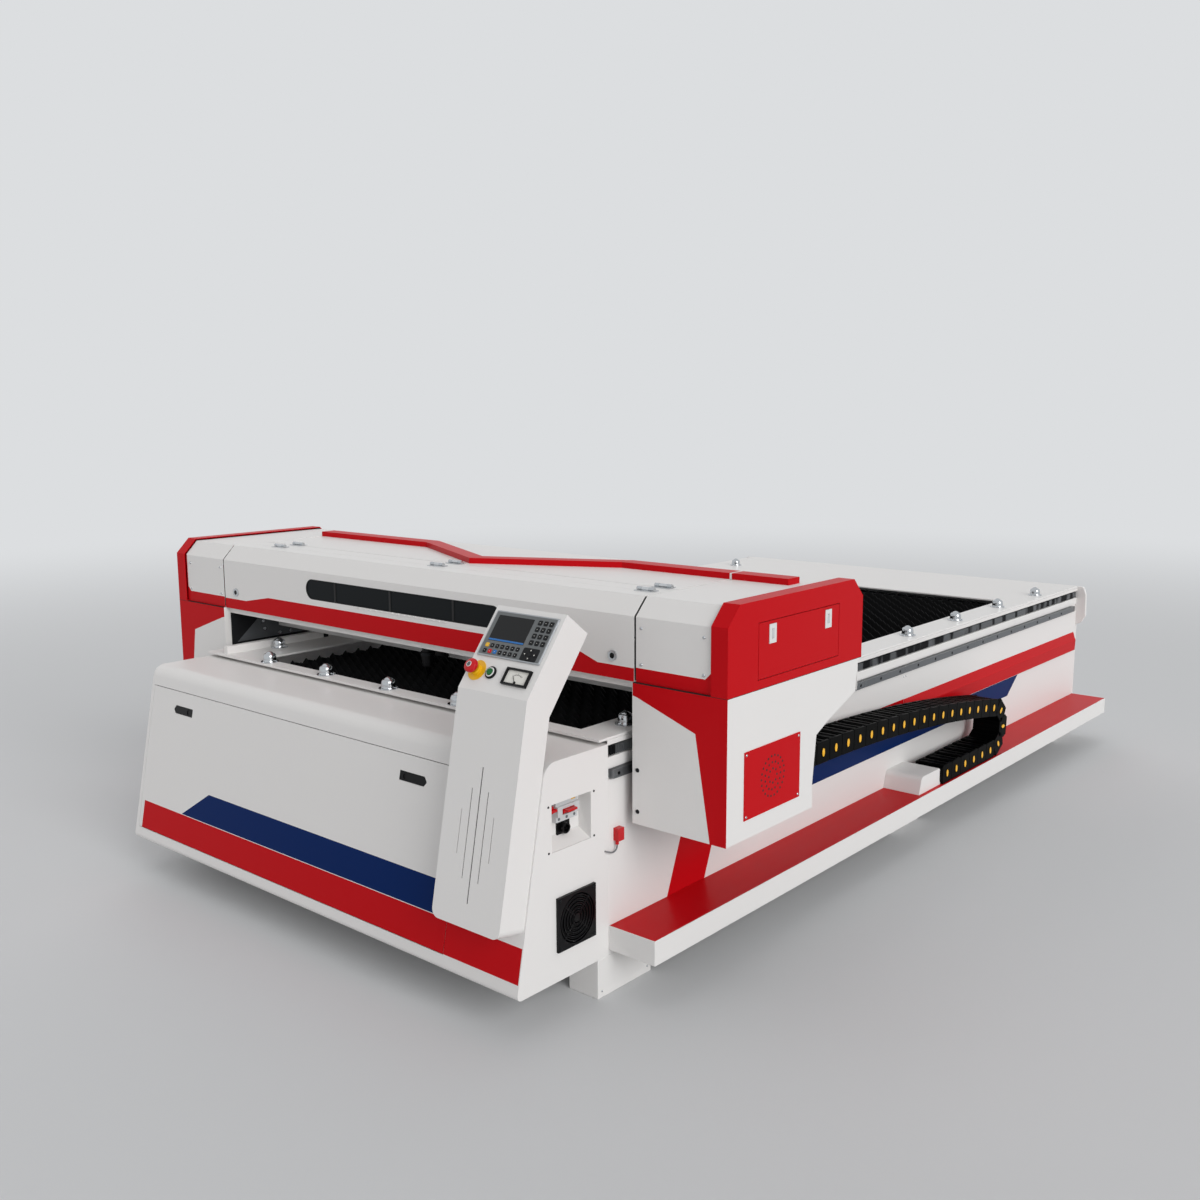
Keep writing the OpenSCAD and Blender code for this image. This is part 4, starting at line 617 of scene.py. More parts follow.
def turned_piece(name, finish, body, slot, place, *profiles):
    """Piece made of turned profiles, each given with its number of steps."""
    bm = bmesh.new()
    for profile, steps in profiles:
        lathe(bm, profile, place, steps)
    return piece(name, bm, finish, body)


def shape_object(name, bm):
    """Unlinked object that a tree copies; its mesh is in metres."""
    return bpy.data.objects.new(name, mesh_of(name, bm))


def cut_shape(name, outline, depth, chamfer=0.0):
    """Shape for a tree, made of one prism in millimetres."""
    bm = bmesh.new()
    prism(bm, outline, depth, Matrix.Scale(MM, 4), chamfer)
    return shape_object(name, bm)


# ---------------------------------------------------------------- geometry nodes

TREES = {}


def new_tree(name, inputs):
    """Geometry tree with named inputs."""
    tree = bpy.data.node_groups.new(name, "GeometryNodeTree")
    socket = tree.interface.new_socket
    socket("Geometry", in_out="INPUT", socket_type="NodeSocketGeometry")
    for label, kind in inputs:
        socket(label, in_out="INPUT", socket_type="NodeSocket" + kind)
    socket("Geometry", in_out="OUTPUT", socket_type="NodeSocketGeometry")
    return tree, add(tree, "NodeGroupInput").outputs


def close_tree(tree, points, given, turn, scale=None):
    """Puts the shape on every point, makes the copies real and gives them their finish."""
    shape = add(tree, "GeometryNodeObjectInfo", {"Object": given["Shape"]},
                transform_space="ORIGINAL")
    copied = add(tree, "GeometryNodeInstanceOnPoints", {
        "Points": points, "Instance": shape.outputs["Geometry"], "Rotation": turn})
    if scale:
        tree.links.new(scale, copied.inputs["Scale"])
    real = add(tree, "GeometryNodeRealizeInstances", {"Geometry": copied.outputs[0]})
    done = add(tree, "GeometryNodeSetMaterial", {
        "Geometry": real.outputs[0], "Material": given["Finish"]})
    add(tree, "NodeGroupOutput", {"Geometry": done.outputs[0]})
    return tree


def copies_tree():
    """Copies of a shape on every point, each turned by the point's own angles."""
    tree, given = new_tree("Placed Copies", [
        ("Shape", "Object"), ("Size", "Float"), ("Finish", "Material")])
    angles = add(tree, "GeometryNodeInputNamedAttribute", {"Name": "turn"},
                 data_type="FLOAT_VECTOR")
    turn = add(tree, "FunctionNodeEulerToRotation", {0: angles.outputs[0]})
    size = add(tree, "ShaderNodeCombineXYZ", {i: given["Size"] for i in range(3)})
    return close_tree(tree, given["Geometry"], given, turn.outputs[0], size.outputs[0])


def row_tree():
    """Copies of a shape in a straight row."""
    tree, given = new_tree("Straight Row", [
        ("Start", "Vector"), ("Step", "Vector"), ("Count", "Int"), ("Turn", "Vector"),
        ("Shape", "Object"), ("Finish", "Material")])
    line = add(tree, "GeometryNodeMeshLine", {
        "Count": given["Count"], "Start Location": given["Start"], "Offset": given["Step"]})
    turn = add(tree, "FunctionNodeEulerToRotation", {0: given["Turn"]})
    return close_tree(tree, line.outputs[0], given, turn.outputs[0])


def links_tree():
    """Links along a path in a Y-Z plane, from the first to the last that are asked for."""
    tree, given = new_tree("Links Along Path", [
        ("Links", "Int"), ("First", "Int"), ("Last", "Int"), ("Shape", "Object"),
        ("Finish", "Material")])
    curve = add(tree, "GeometryNodeMeshToCurve", {0: given["Geometry"]})
    points = add(tree, "GeometryNodeCurveToPoints", {
        0: curve.outputs[0], "Count": given["Links"]}, mode="COUNT")
    parts = add(tree, "ShaderNodeSeparateXYZ", {0: points.outputs["Tangent"]})
    slope = add(tree, "ShaderNodeMath", {0: parts.outputs[2], 1: parts.outputs[1]},
                operation="ARCTAN2")
    angles = add(tree, "ShaderNodeCombineXYZ", {0: slope.outputs[0]})
    stored = add(tree, "GeometryNodeStoreNamedAttribute", {
        "Geometry": points.outputs[0], "Name": "turn", "Value": angles.outputs[0]},
        data_type="FLOAT_VECTOR", domain="POINT")
    index = add(tree, "GeometryNodeInputIndex").outputs[0]
    before, after = (
        add(tree, "FunctionNodeCompare", {2: index, 3: given[end]}, data_type="INT",
            operation=test).outputs[0]
        for end, test in (("First", "LESS_THAN"), ("Last", "GREATER_THAN")))
    either = add(tree, "FunctionNodeBooleanMath", {0: before, 1: after}, operation="OR")
    kept = add(tree, "GeometryNodeDeleteGeometry", {0: stored.outputs[0], 1: either.outputs[0]})
    read = add(tree, "GeometryNodeInputNamedAttribute", {"Name": "turn"},
               data_type="FLOAT_VECTOR")
    turn = add(tree, "FunctionNodeEulerToRotation", {0: read.outputs[0]})
    return close_tree(tree, kept.outputs[0], given, turn.outputs[0])


def grown(name, mesh, tree, values, finish):
    """Runs a geometry tree on a mesh and returns the result as a plain mesh object."""
    source = bpy.data.objects.new(name + "_source", mesh)
    bpy.context.scene.collection.objects.link(source)
    modifier = source.modifiers.new("Build", "NODES")
    modifier.node_group = TREES[tree]
    sockets = {s.name: s.identifier for s in TREES[tree].interface.items_tree
               if s.item_type == "SOCKET" and s.in_out == "INPUT"}
    for label, value in {**values, "Finish": finish_of(finish)}.items():
        modifier[sockets[label]] = value
    bpy.context.view_layer.update()
    graph = bpy.context.evaluated_depsgraph_get()
    result = bpy.data.meshes.new_from_object(source.evaluated_get(graph))
    bpy.data.objects.remove(source)
    result.name = name
    return shown(name, result, COPY_EDGE)


def turn_to(facing):
    """Angles that turn a copy's Z axis to a direction, or angles that are given as they are."""
    if isinstance(facing, Euler):
        return facing
    return Vector(facing).to_track_quat("Z", "Y").to_euler()


def copies(name, places, shape, finish, body, size=1.0):
    """Copies of a shape at (place, facing) pairs, as one piece."""
    mesh = bpy.data.meshes.new(name)
    mesh.from_pydata([tuple(point) for point, _ in places], [], [])
    turn = mesh.attributes.new("turn", "FLOAT_VECTOR", "POINT")
    for item, (_, facing) in zip(turn.data, places):
        item.vector = turn_to(facing)
    made = grown(name, mesh, "copies", {"Shape": shape, "Size": size}, finish)
    return carried(made, body)


def row(name, start, step, count, facing, shape, finish, body):
    """Copies of a shape in a straight row, as one piece."""
    made = grown(name, bpy.data.meshes.new(name), "row", {
        "Start": tuple(start), "Step": tuple(step), "Count": count,
        "Turn": tuple(turn_to(facing)), "Shape": shape}, finish)
    return carried(made, body)


def pan_screw():
    """Cross-recessed pan-head screw, standing on its seat."""
    bm = bmesh.new()
    r = sizes().screw_head
    lathe(bm, [(0, 0.5 * r), (0.16 * r, 0.5 * r), (0.26 * r, 0.62 * r), (0.62 * r, 0.52 * r),
               (0.9 * r, 0.3 * r), (r, 0.06 * r), (r, -0.2 * r), (0, -0.2 * r)], steps=14)
    for a in (0, 90):
        turn = Matrix.Rotation(math.radians(a), 4, "Z")
        prism(bm, rect(-0.5 * r, 0.5 * r, -0.07 * r, 0.07 * r), 0.04 * r, lifted(turn, 0.575 * r))
    return shape_object("pan_screw_shape", bm)


def cap_screw():
    """Socket head cap screw with its recess, in metres."""
    bm = bmesh.new()
    lathe(bm, [(0, 0.0005), (0.0022, 0.0005), (0.0022, 0.003), (0.0038, 0.003),
               (0.0042, 0.0026), (0.0042, -0.0005), (0, -0.0005)], steps=12)
    return shape_object("cap_screw_shape", bm)


# ---------------------------------------------------------------- finishes of the CAD parts

LIVERIES = {
    front_livery: ("cabinet_shell", "front_door"),
    side_livery: ("bed_sides",),
    leg_livery: ("legs",),
    lid_livery: ("front_lid",),
    rear_lid_livery: ("rear_lid",),
    end_cover_livery: ("end_covers",),
    shelf_livery: ("chain_shelf",),
    console_livery: ("console",),
    beam_livery: ("gantry_beam",),
}

PARTS = {
    "powder_coat_white": ("bed_plate", "bed_rear_wall", "feet", "cabinet_sides", "power_panel",
                          "chain_anchor", "top_spine"),
    "powder_coat_red": ("end_caps", "hatch_left", "hatch_right", "vent_plates",
                        "side_mouldings"),
    "chrome_plate": ("ball_transfers", "lid_hinges", "cam_lock_left", "cam_lock_right"),
    "ground_steel": ("y_rails", "x_rail", "guide_blocks"),
    "hobbed_rack_steel": ("y_racks", "pinion_left", "pinion_right"),
    "blade_steel_with_painted_shade": ("blades",),
    "anodised_aluminium": ("controller", "motor_pulley", "idler_pulley", "beam_optics"),
    "grey_frame_enamel": ("bed_underframe",),
    "moulded_black_nylon": ("cable_chain",),
    "moulded_black_abs": ("fan_housing", "fan_rotor", "inlet_socket", "ammeter",
                          "door_pull_left", "door_pull_right", "stepper_motors",
                          "head_carriage", "laser_head", "meter_needle"),
    "moulded_red_abs": ("estop_head", "breaker_toggle", "limit_switch"),
    "moulded_green_abs": ("start_button",),
    "moulded_yellow_abs": ("button_bezels",),
    "moulded_grey_abs": ("breaker",),
    "moulded_white_abs": ("latches_left", "latches_right"),
    "black_rubber": ("x_belt",),
    "grey_pvc_sheath": ("limit_lead",),
    "borosilicate_glass": ("laser_tube",),
}

FOLDED = (
    "cabinet_shell", "cabinet_sides", "front_door", "bed_plate", "bed_rear_wall", "feet",
    "chain_shelf", "chain_anchor", "end_covers", "end_caps", "top_spine", "front_lid",
    "rear_lid", "legs", "bed_sides", "side_mouldings", "controller")
CONSOLE_FOLD = 0.003
TURNED = ("estop_head", "start_button", "button_bezels", "ball_transfers", "cam_lock_left",
          "cam_lock_right")
TURNED_EDGE = 0.0006


def weld(node):
    """Joins a node's loose triangles, with a modifier, so that its own mesh stays as it is."""
    node.modifiers.new("Weld", "WELD").merge_threshold = 0.00002


def soften(name, width):
    """Rounds a node's sharp edges with modifiers."""
    node = NODES[name]
    weld(node)
    flat = node.modifiers.new("Flat faces", "DECIMATE")
    flat.decimate_type = "DISSOLVE"
    flat.angle_limit = math.radians(1)
    bevel = node.modifiers.new("Fold", "BEVEL")
    bevel.width = width
    bevel.segments = 2
    bevel.limit_method = "ANGLE"
    bevel.angle_limit = math.radians(28)
    bevel.use_clamp_overlap = True
    bevel.harden_normals = False
    normal = node.modifiers.new("Even shading", "WEIGHTED_NORMAL")
    normal.keep_sharp = True
    normal.weight = 100


def dress_sheet_metal():
    """Gives every CAD part its finish, and rounds its folds."""
    coats = [(maker(), names) for maker, names in LIVERIES.items()]
    coats += [(finish_of(finish), names) for finish, names in PARTS.items()]
    for finish, names in coats:
        for name in names:
            NODES[name].data.materials.clear()
            NODES[name].data.materials.append(finish)
    for name in FOLDED:
        soften(name, sizes().fillet)
    soften("console", CONSOLE_FOLD)
    for name in TURNED:
        soften(name, TURNED_EDGE)


def dress_lead():
    """Rounds the limit switch's lead."""
    node = NODES["limit_lead"]
    weld(node)
    curve = node.modifiers.new("Round", "SUBSURF")
    curve.levels = curve.render_levels = 2


# ---------------------------------------------------------------- screws

def both(*xs):
    """Places across the machine, on its left and then on its right."""
    return [side * x for side in (-1, 1) for x in xs]


def grid(facing, xs, ys, zs):
    """Every meeting of the given coordinates; with no facing, each looks out from its own side."""
    return [(at(x, y, z), facing or Vector(RIGHT) * math.copysign(1, x))
            for x in xs for y in ys for z in zs]


def dress_screws():
    """Pan-head screws of covers, plates and walls, painted shade in the vents' holes, and the
    fan's wire rings.
    """
    shape = pan_screw()

    def screws(name, places, finish, body, size=1.0):
        """Copies of the pan-head screw."""
        copies(name, places, shape, finish, body, size)

    cover = grid(FORWARD, both(1007, 1213), (LID_FACE,), (817, 916))
    screws("end_cover_screws", cover, "chrome_plate", "gantry")
    low, high = span("vent_plates")
    middle = (low + high) / 2
    inset = 9
    plate = grid(None, both(high.x), (low.y + inset, high.y - inset),
                 (low.z + inset, high.z - inset))
    screws("vent_plate_screws", plate, "chrome_plate", "gantry", 0.8)
    # dark discs just under each vent hole's rim: painted shade inside the holes, in the black
    # rubber finish for its colour
    hole_r, sunk, pitch = 3.5, 0.35, 2.6    # ring's radius for each hole round it is the pitch
    hole = cut_shape("vent_hole_shape", disc(hole_r, 10), 0.5)
    holes = [(at(side * (high.x - sunk), middle.y + r * math.cos(a), middle.z + r * math.sin(a)),
              Vector(RIGHT) * side)
             for side in (-1, 1) for r in (20, 38, 56)
             for a in (math.tau * i / round(r / pitch) for i in range(round(r / pitch)))]
    copies("vent_holes", holes, hole, "black_rubber", "gantry")
    leg_low = span("legs")[0].z
    leg = grid(FORWARD, both(LEG_X + 12), (GAN_FRONT,), (leg_low + 37, leg_low + 154))
    screws("leg_screws", leg, "black_oxide_steel", "gantry", 1.3)
    middle = sum(span("power_panel"), Vector()) / 2
    wall = grid(RIGHT, (HALF_W,), (middle.y - 89, middle.y + 89), (middle.z - 62, middle.z + 62))
    screws("recess_screws", wall, "black_oxide_steel", "base", 0.7)
    low, high = span("fan_housing")
    middle = (low + high) / 2
    corner = 66
    guard = grid(RIGHT, (high.x,), (middle.y - corner, middle.y + corner),
                 (middle.z - corner, middle.z + corner))
    screws("fan_screws", guard, "black_oxide_steel", "base", 0.9)
    wire = 1.1
    rings = [([(r - wire, -1), (r + wire, -1), (r + wire, 0.8), (r, 1.3), (r - wire, 0.8),
               (r - wire, -1)], 48) for r in (23.5, 34.5, 45.5, 56.5)]
    front = local_frame(at(high.x - 3.5, middle.y, middle.z), BACKWARD, UP)
    turned_piece("fan_wires", "moulded_black_abs", "base", "black_paint", front, *rings)
    joint = grid(None, both(HALF_W), (BEAM_SEAM - 9, BEAM_SEAM + 9), (488, 330))
    screws("beam_seam_screws", joint, "chrome_plate", "base", 0.7)
    foot = grid(None, both(HALF_W), (-30, 170), (span("feet")[0].z + 20,))
    screws("foot_screws", foot, "chrome_plate", "base", 0.7)


def dress_rail_screws():
    """Cap screws sunk in the rails' holes, and along the X rail."""
    shape = cap_screw()
    low, high = span("y_rails")
    count, first = 23, 30               # screws in each rail, and the first one's place
    step = (BED_L - 120) / count
    for side, label in SIDES:
        row(f"rail_screws_{label}", at(side * (high.x - 7), first, (low.z + high.z) / 2),
            (0, step * MM, 0), count, (side, 0, 0), shape, "black_oxide_steel", "base")
    low, high = span("x_rail")
    row("x_rail_screws", at(low.x + 40, low.y, (low.z + high.z) / 2), (0.1, 0, 0), 19, FORWARD,
        shape, "black_oxide_steel", "gantry")


# ---------------------------------------------------------------- ball transfers

# Wall of the pressed dome, from its foot up, over the rim and down inside, in metres
DOME = [(0.0212, 0.0031), (0.0236, 0.0031), (0.0228, 0.0050), (0.0226, 0.0110),
        (0.0224, 0.0160), (0.0219, 0.0205), (0.0212, 0.0242), (0.0198, 0.0272),
        (0.0180, 0.0292), (0.0160, 0.0304), (0.0145, 0.0307), (0.0141, 0.0300),
        (0.0152, 0.0272), (0.0156, 0.0254), (0.0212, 0.0251), (0.0212, 0.0031)]
FLANGE, BOLT_R = 0.003, 0.0265


def ball_places():
    """Centres of the ball transfers, from the vertices at the balls' crowns."""
    crown, apart = 0.0015, 0.03         # height of a ball's crown, and reach of one transfer
    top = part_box("ball_transfers")[1].z
    verts = [v.co for v in NODES["ball_transfers"].data.vertices if top - v.co.z < crown]
    found = []
    for co in verts:
        if not any((co.xy - p).length < apart for p in found):
            near = [v.xy for v in verts if (v.xy - co.xy).length < apart]
            low = Vector((min(p.x for p in near), min(p.y for p in near)))
            high = Vector((max(p.x for p in near), max(p.y for p in near)))
            found.append((low + high) / 2)
    return found


def dress_ball_transfers():
    """Flange bolts and the pressed dome of every ball transfer."""
    foot = UNDER_Z + BED_TOP * MM
    places = ball_places()
    third = math.tau / 3
    bolts = [(Vector((p.x + BOLT_R * math.cos(a), p.y + BOLT_R * math.sin(a), foot + FLANGE)), UP)
             for p in places for a in (0.5, 0.5 + third, 0.5 - third)]
    copies("roller_bolts", bolts, cap_screw(), "chrome_plate", "base", 0.7)
    bm = bmesh.new()
    lathe(bm, DOME, steps=32)
    copies("roller_domes", [(Vector((p.x, p.y, foot)), UP) for p in places],
           shape_object("roller_dome_shape", bm), "chrome_plate", "base")


# ---------------------------------------------------------------- cable chain

LINK_HALF = 35.5                        # half the height of a link
BEND_R = 85.0                           # radius of the bend, at the links' middle


def chain_path():
    """Centre line of the chain: lower run, bend and sagging upper run, in machine millimetres."""
    anchor, end = span("chain_anchor")[1].y + 1, CHAIN_LOW.y
    low, high = CHAIN_LOW.z + LINK_HALF, 412.0
    bend_y = CHAIN_HIGH.y - BEND_R - LINK_HALF
    straight = 200                      # stretch of the upper run that doesn't sag
    points = [(anchor + (bend_y - anchor) * i / 40, low) for i in range(41)]
    for i in range(1, 41):
        a = math.radians(-90 + 180 * i / 40)
        points.append((bend_y + BEND_R * math.cos(a), low + BEND_R + BEND_R * math.sin(a)))
    for i in range(1, 121):
        y = bend_y - (bend_y - end) * i / 120
        sag = max(0.0, (y - end - straight) / (bend_y - end - straight)) ** 2
        points.append((y, high - (high - low - 2 * BEND_R) * sag))
    return points, bend_y, anchor, end


def trimmed(points, cut):
    """Path shortened by a length at both ends."""
    ends = []
    for ordered in (points, points[::-1]):
        left = cut
        for i, (a, b) in enumerate(zip(ordered, ordered[1:])):
            step = math.dist(a, b)
            if step > left:
                share = left / step
                ends.append((i, (a[0] + (b[0] - a[0]) * share, a[1] + (b[1] - a[1]) * share)))
                break
            left -= step
    (i, first), (k, last) = ends
    return [first] + points[i + 1:len(points) - 1 - k] + [last]


def chain_link():
    """One link: flush side plates with a lapped end, and ribbed bars above and below."""
    bm = bmesh.new()
    turned_over = Matrix.Scale(-1, 4, UP)
    across = local_frame((0, 0, 0), BACKWARD, UP)
    for side, wall in ((-1, across @ turned_over), (1, across)):
        inner = Matrix.Translation((side * (CHAIN_HALF - 9) * MM, 0, 0)) @ wall
        prism(bm, rounded(94, 64, 14, steps=3), 6.6, inner, chamfer=1)
        prism(bm, rounded(77.4, 71, 5, steps=2), 8.4, inner, chamfer=0.9)
        prism(bm, disc(13, 16, stretch=1.5), 9, inner, chamfer=0.5)
    bar = local_frame((0, 0, 0), RIGHT, BACKWARD)
    for z, wall in ((26, bar), (-26, bar @ turned_over)):
        outer = Matrix.Translation((0, 0, z * MM)) @ wall
        prism(bm, rounded(2 * CHAIN_HALF - 16, 60, 5, steps=2), 5.5, outer, chamfer=1.5)
        for y in (-17, 17):
            rib = rounded(2 * CHAIN_HALF - 17, 15, 4, steps=2, cy=y)
            prism(bm, rib, 8.6, outer, chamfer=2)
    return shape_object("chain_link_shape", bm)


def chain_button():
    """Oval pin head on the outer side of a link."""
    bm = bmesh.new()
    outer = Matrix.Translation(((CHAIN_HALF - 1) * MM, 0, 0))
    prism(bm, disc(7.4, 18, stretch=1.85), 2.2, outer @ local_frame((0, 0, 0), BACKWARD, UP),
          chamfer=0.8)
    return shape_object("chain_button_shape", bm)


def dress_cable_chain():
    """Cable chain of links, split where its lower run, bend and upper run move apart."""
    points, bend_y, anchor, end = chain_path()
    count = sizes().link_count
    pitch = sum(math.dist(a, b) for a, b in zip(points, points[1:])) / count
    line = trimmed(points, pitch / 2)
    x = (CHAIN_LOW.x + CHAIN_HIGH.x) / 2
    low_n = round((bend_y - anchor) / pitch)
    bend_n = round(math.pi * BEND_R / pitch)
    far = 50000.0                       # far out along X, beyond the machine
    mid = (bend_y + end) / 2
    runs = {
        "lower": (0, low_n - 1, (x, anchor, 0), (x, 2 * bend_y - anchor, 0)),
        "bend": (low_n, low_n + bend_n - 1, (x - far, mid, 0), (x + far, mid, 0)),
        "upper": (low_n + bend_n, count - 1, (x, 2 * bend_y - end, 0), (x, end, 0))}
    parts = {"links": (chain_link(), "moulded_black_nylon", "black_nylon"),
             "buttons": (chain_button(), "moulded_yellow_nylon", "yellow_plastic")}
    for run, (first, last, start, stop) in runs.items():
        for label, (shape, finish, slot) in parts.items():
            mesh = bpy.data.meshes.new("chain_path")
            mesh.from_pydata([tuple(at(x, y, z)) for y, z in line],
                             [(i, i + 1) for i in range(len(line) - 1)], [])
            made = grown(f"chain_{label}_{run}", mesh, "links", {
                "Links": count, "First": first, "Last": last, "Shape": shape}, finish)
            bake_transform(made)
            if label == "links" and run == "lower":
                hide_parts("cable_chain")


# ---------------------------------------------------------------- console

FILM_TOP = 5.0
KEYS_TOP = FILM_TOP + 0.5


def dress_controller():
    """Film, display, keys and direction pad of the controller."""
    screen_x = -31
    for name, finish, slot, outline, thick, height, chamfer in (
            ("controller_film", "printed_grey_film", "frame_grey",
             rounded(217, 127, 3, cy=165.5), 0.8, FILM_TOP - 0.2, 0.4),
            ("display", "display_glass", "black_paint",
             rounded(128, 76, 2, cx=screen_x, cy=181), 0.9, FILM_TOP + 0.5, 0.4),
            ("display_bar", "display_blue_bar", "black_paint",
             rounded(126, 5, 1, cx=screen_x, cy=146.5), 0.3, FILM_TOP + 1.3, 0.1)):
        cut_piece(name, finish, "base", slot,
                  (outline, thick, lifted(CONTROL_FACE, height), chamfer))
    small, large = 12, 14
    keys = [(-89 + 18.5 * i, s, small) for s in (129, 112) for i in range(7)]
    keys += [(56 + 20 * i, 212.5 - 19.4 * k, large) for k in range(4) for i in range(3)]
    odd = {(-89, 129): "yellow", (-70.5, 112): "red", (-52, 112): "blue"}
    shades = {"black": ("membrane_key_black", "black_nylon"),
              "yellow": ("moulded_yellow_abs", "yellow_plastic"),
              "red": ("moulded_red_abs", "red_plastic"),
              "blue": ("display_blue_bar", "black_paint")}
    shapes = {size: cut_shape(f"key_{size}_shape", rounded(size, size, 2.5, steps=2), 1.6, 0.6)
              for size in (small, large)}
    for tone, (finish, slot) in shades.items():
        for size, shape in shapes.items():
            places = [(CONTROL_FACE @ Vector((x, s, KEYS_TOP)), KEY_TURN) for x, s, w in keys
                      if w == size and odd.get((x, s), "black") == tone]
            if places:
                copies(f"keys_{tone}_{size}", places, shape, finish, "base")
    legend = cut_shape("key_legend_shape", rounded(3.2, 1, 0.4, steps=1), 0.2)
    marks = [(CONTROL_FACE @ Vector((x, s, KEYS_TOP + 1.5)), KEY_TURN) for x, s, _ in keys]
    copies("key_legends", marks, legend, "printed_dial_card", "base")
    pad = CONTROL_FACE @ Matrix.Translation((69.5, 120.5, KEYS_TOP))
    ways = ((17, 0, 0), (-17, 0, 180), (0, 12, 90), (0, -12, 270))
    cut_piece("direction_pad", "membrane_key_black", "base", "black_nylon",
              (rounded(57, 37, 5), 0.8, pad, 0.4), (disc(6, 16), 2.4, pad, 0.8),
              *[(rounded(13, 9, 2.5, steps=2, cx=x, cy=y), 2.2, pad, 0.7) for x, y, _ in ways])
    arrow = [(-1.8, -2.4), (2.4, 0), (-1.8, 2.4)]
    cut_piece("direction_arrows", "printed_dial_card", "base", "white_plastic",
              *[(arrow, 0.2, pad @ Matrix.Translation((x, y, 2.1))
                 @ Matrix.Rotation(math.radians(a), 4, "Z")) for x, y, a in ways])


def dress_buttons():
    """Rings of the buttons, and the meter's card and scale."""

    def on_face(node, s, height=0):
        """Frame on the control face, in line with a node and s up from the bend."""
        low, high = span(node)
        middle = (low.x + high.x) / 2 - CONSOLE_MID
        return CONTROL_FACE @ Matrix.Translation((middle, s, height))

    start, crown = on_face("start_button", BUTTON_S), on_face("estop_head", BUTTON_S)
    for name, finish, body, slot, place, profile, steps in (
            ("start_base_ring", "moulded_black_abs", "base", "black_paint", start,
             [(15.1, 0), (17.5, 0.4), (17.5, 4), (15.5, 5.6), (13.4, 5.6), (13.4, 3.9),
              (15.1, 3.9), (15.1, 0)], 36),
            ("start_ring", "moulded_white_abs", "base", "white_plastic", start,
             [(13.3, 3.9), (13.3, 6.4), (12, 7.6), (10.4, 7.4), (9.8, 6), (9.8, 3.9),
              (13.3, 3.9)], 36),
            ("estop_cap", "grey_frame_enamel", "estop_head", "frame_grey", crown,
             [(0, 37.9), (5.6, 37.8), (6.2, 37.2), (0, 37.2)], 24),
            ("estop_cap_ring", "moulded_white_abs", "estop_head", "white_plastic", crown,
             [(6.4, 36.9), (6.6, 37.9), (7.8, 37.7), (8.1, 36.7), (6.4, 36.9)], 28)):
        turned_piece(name, finish, body, slot, place, (profile, steps))
    cut_piece("meter_card", "printed_dial_card", "base", "white_plastic",
              (rounded(76, 37, 1.5), 0.4, on_face("ammeter", 54, 1.9)))
    pivot = on_face("ammeter", NEEDLE_S, 2.35)
    scale_r, line, ink = 22, 0.6, 0.15
    ticks = [(rect(-0.35, 0.35, scale_r, scale_r + (3 if i % 5 else 5)), ink,
              pivot @ Matrix.Rotation(math.radians(40 - 8 * i), 4, "Z")) for i in range(11)]
    arc = [math.radians(50 + 80 * i / 24) for i in range(25)]
    ring = [(r * math.cos(a), r * math.sin(a))
            for r, way in ((scale_r, arc), (scale_r - line, arc[::-1])) for a in way]
    cut_piece("meter_scale", "moulded_black_abs", "base", "black_paint", *ticks,
              (ring, ink, pivot))


# ---------------------------------------------------------------- gantry detail

def dress_window():
    """Dividers and seal of the front lid's window, and the row of clips under it."""
    wall = local_frame(at(0, LID_FACE, 885), RIGHT, UP)
    cut_piece("window_dividers", "black_rubber", "front_lid", "black_rubber",
              *[(rounded(9, 68, 1, cx=x), 3, lifted(wall, -2.6), 0.6) for x in (-317, -31, 268)])
    outer = rounded(956, 70, 34.9, steps=10)
    inner = shrunk(outer, 2.2)
    front, back = 0.15, -2.5
    bm = bmesh.new()
    made = [[bm.verts.new(wall @ Vector((x, z, w))) for x, z in ring]
            for ring, w in ((outer, front), (outer, back), (inner, back), (inner, front))]
    count = len(outer)
    for a, b in zip(made, made[1:] + made[:1]):
        for i in range(count):
            k = (i + 1) % count
            bm.faces.new((a[i], a[k], b[k], b[i]))
    piece("window_seal", bm, "black_rubber", "front_lid")
    clip = cut_shape("window_clip_shape", rounded(16, 5, 1.6), 3.5, 1)
    row("window_clips", at(-190, LID_FACE, 847), (0.028, 0, 0), 16, FORWARD, clip,
        "powder_coat_white", "front_lid")


def dress_latches():
    """Grey oval grip in each latch of the hatches, and the dark socket of each cam lock."""
    for side, label in SIDES:
        low, high = span(f"latches_{label}")
        x = (high.x if side == 1 else low.x) - side * 1.1
        cut_piece(f"latch_grips_{label}", "moulded_grey_abs", f"latches_{label}", "grey_plastic",
                  *[(disc(5.8, 20, stretch=2.3), 1.6,
                     local_frame(at(x, y, (low.z + high.z) / 2), (0, side, 0), UP), 0.7)
                    for y in (low.y + 17, high.y - 17)])
        low, high = span(f"cam_lock_{label}")
        reach = (high.x - low.x) / 2
        face = local_frame(at(low.x + reach, low.y, high.z - reach), RIGHT, UP)
        cut_piece(f"cam_lock_socket_{label}", "moulded_black_abs", f"cam_lock_{label}",
                  "black_paint", (disc(0.55 * reach, 20), 0.4, lifted(face, -0.15), 0.15))


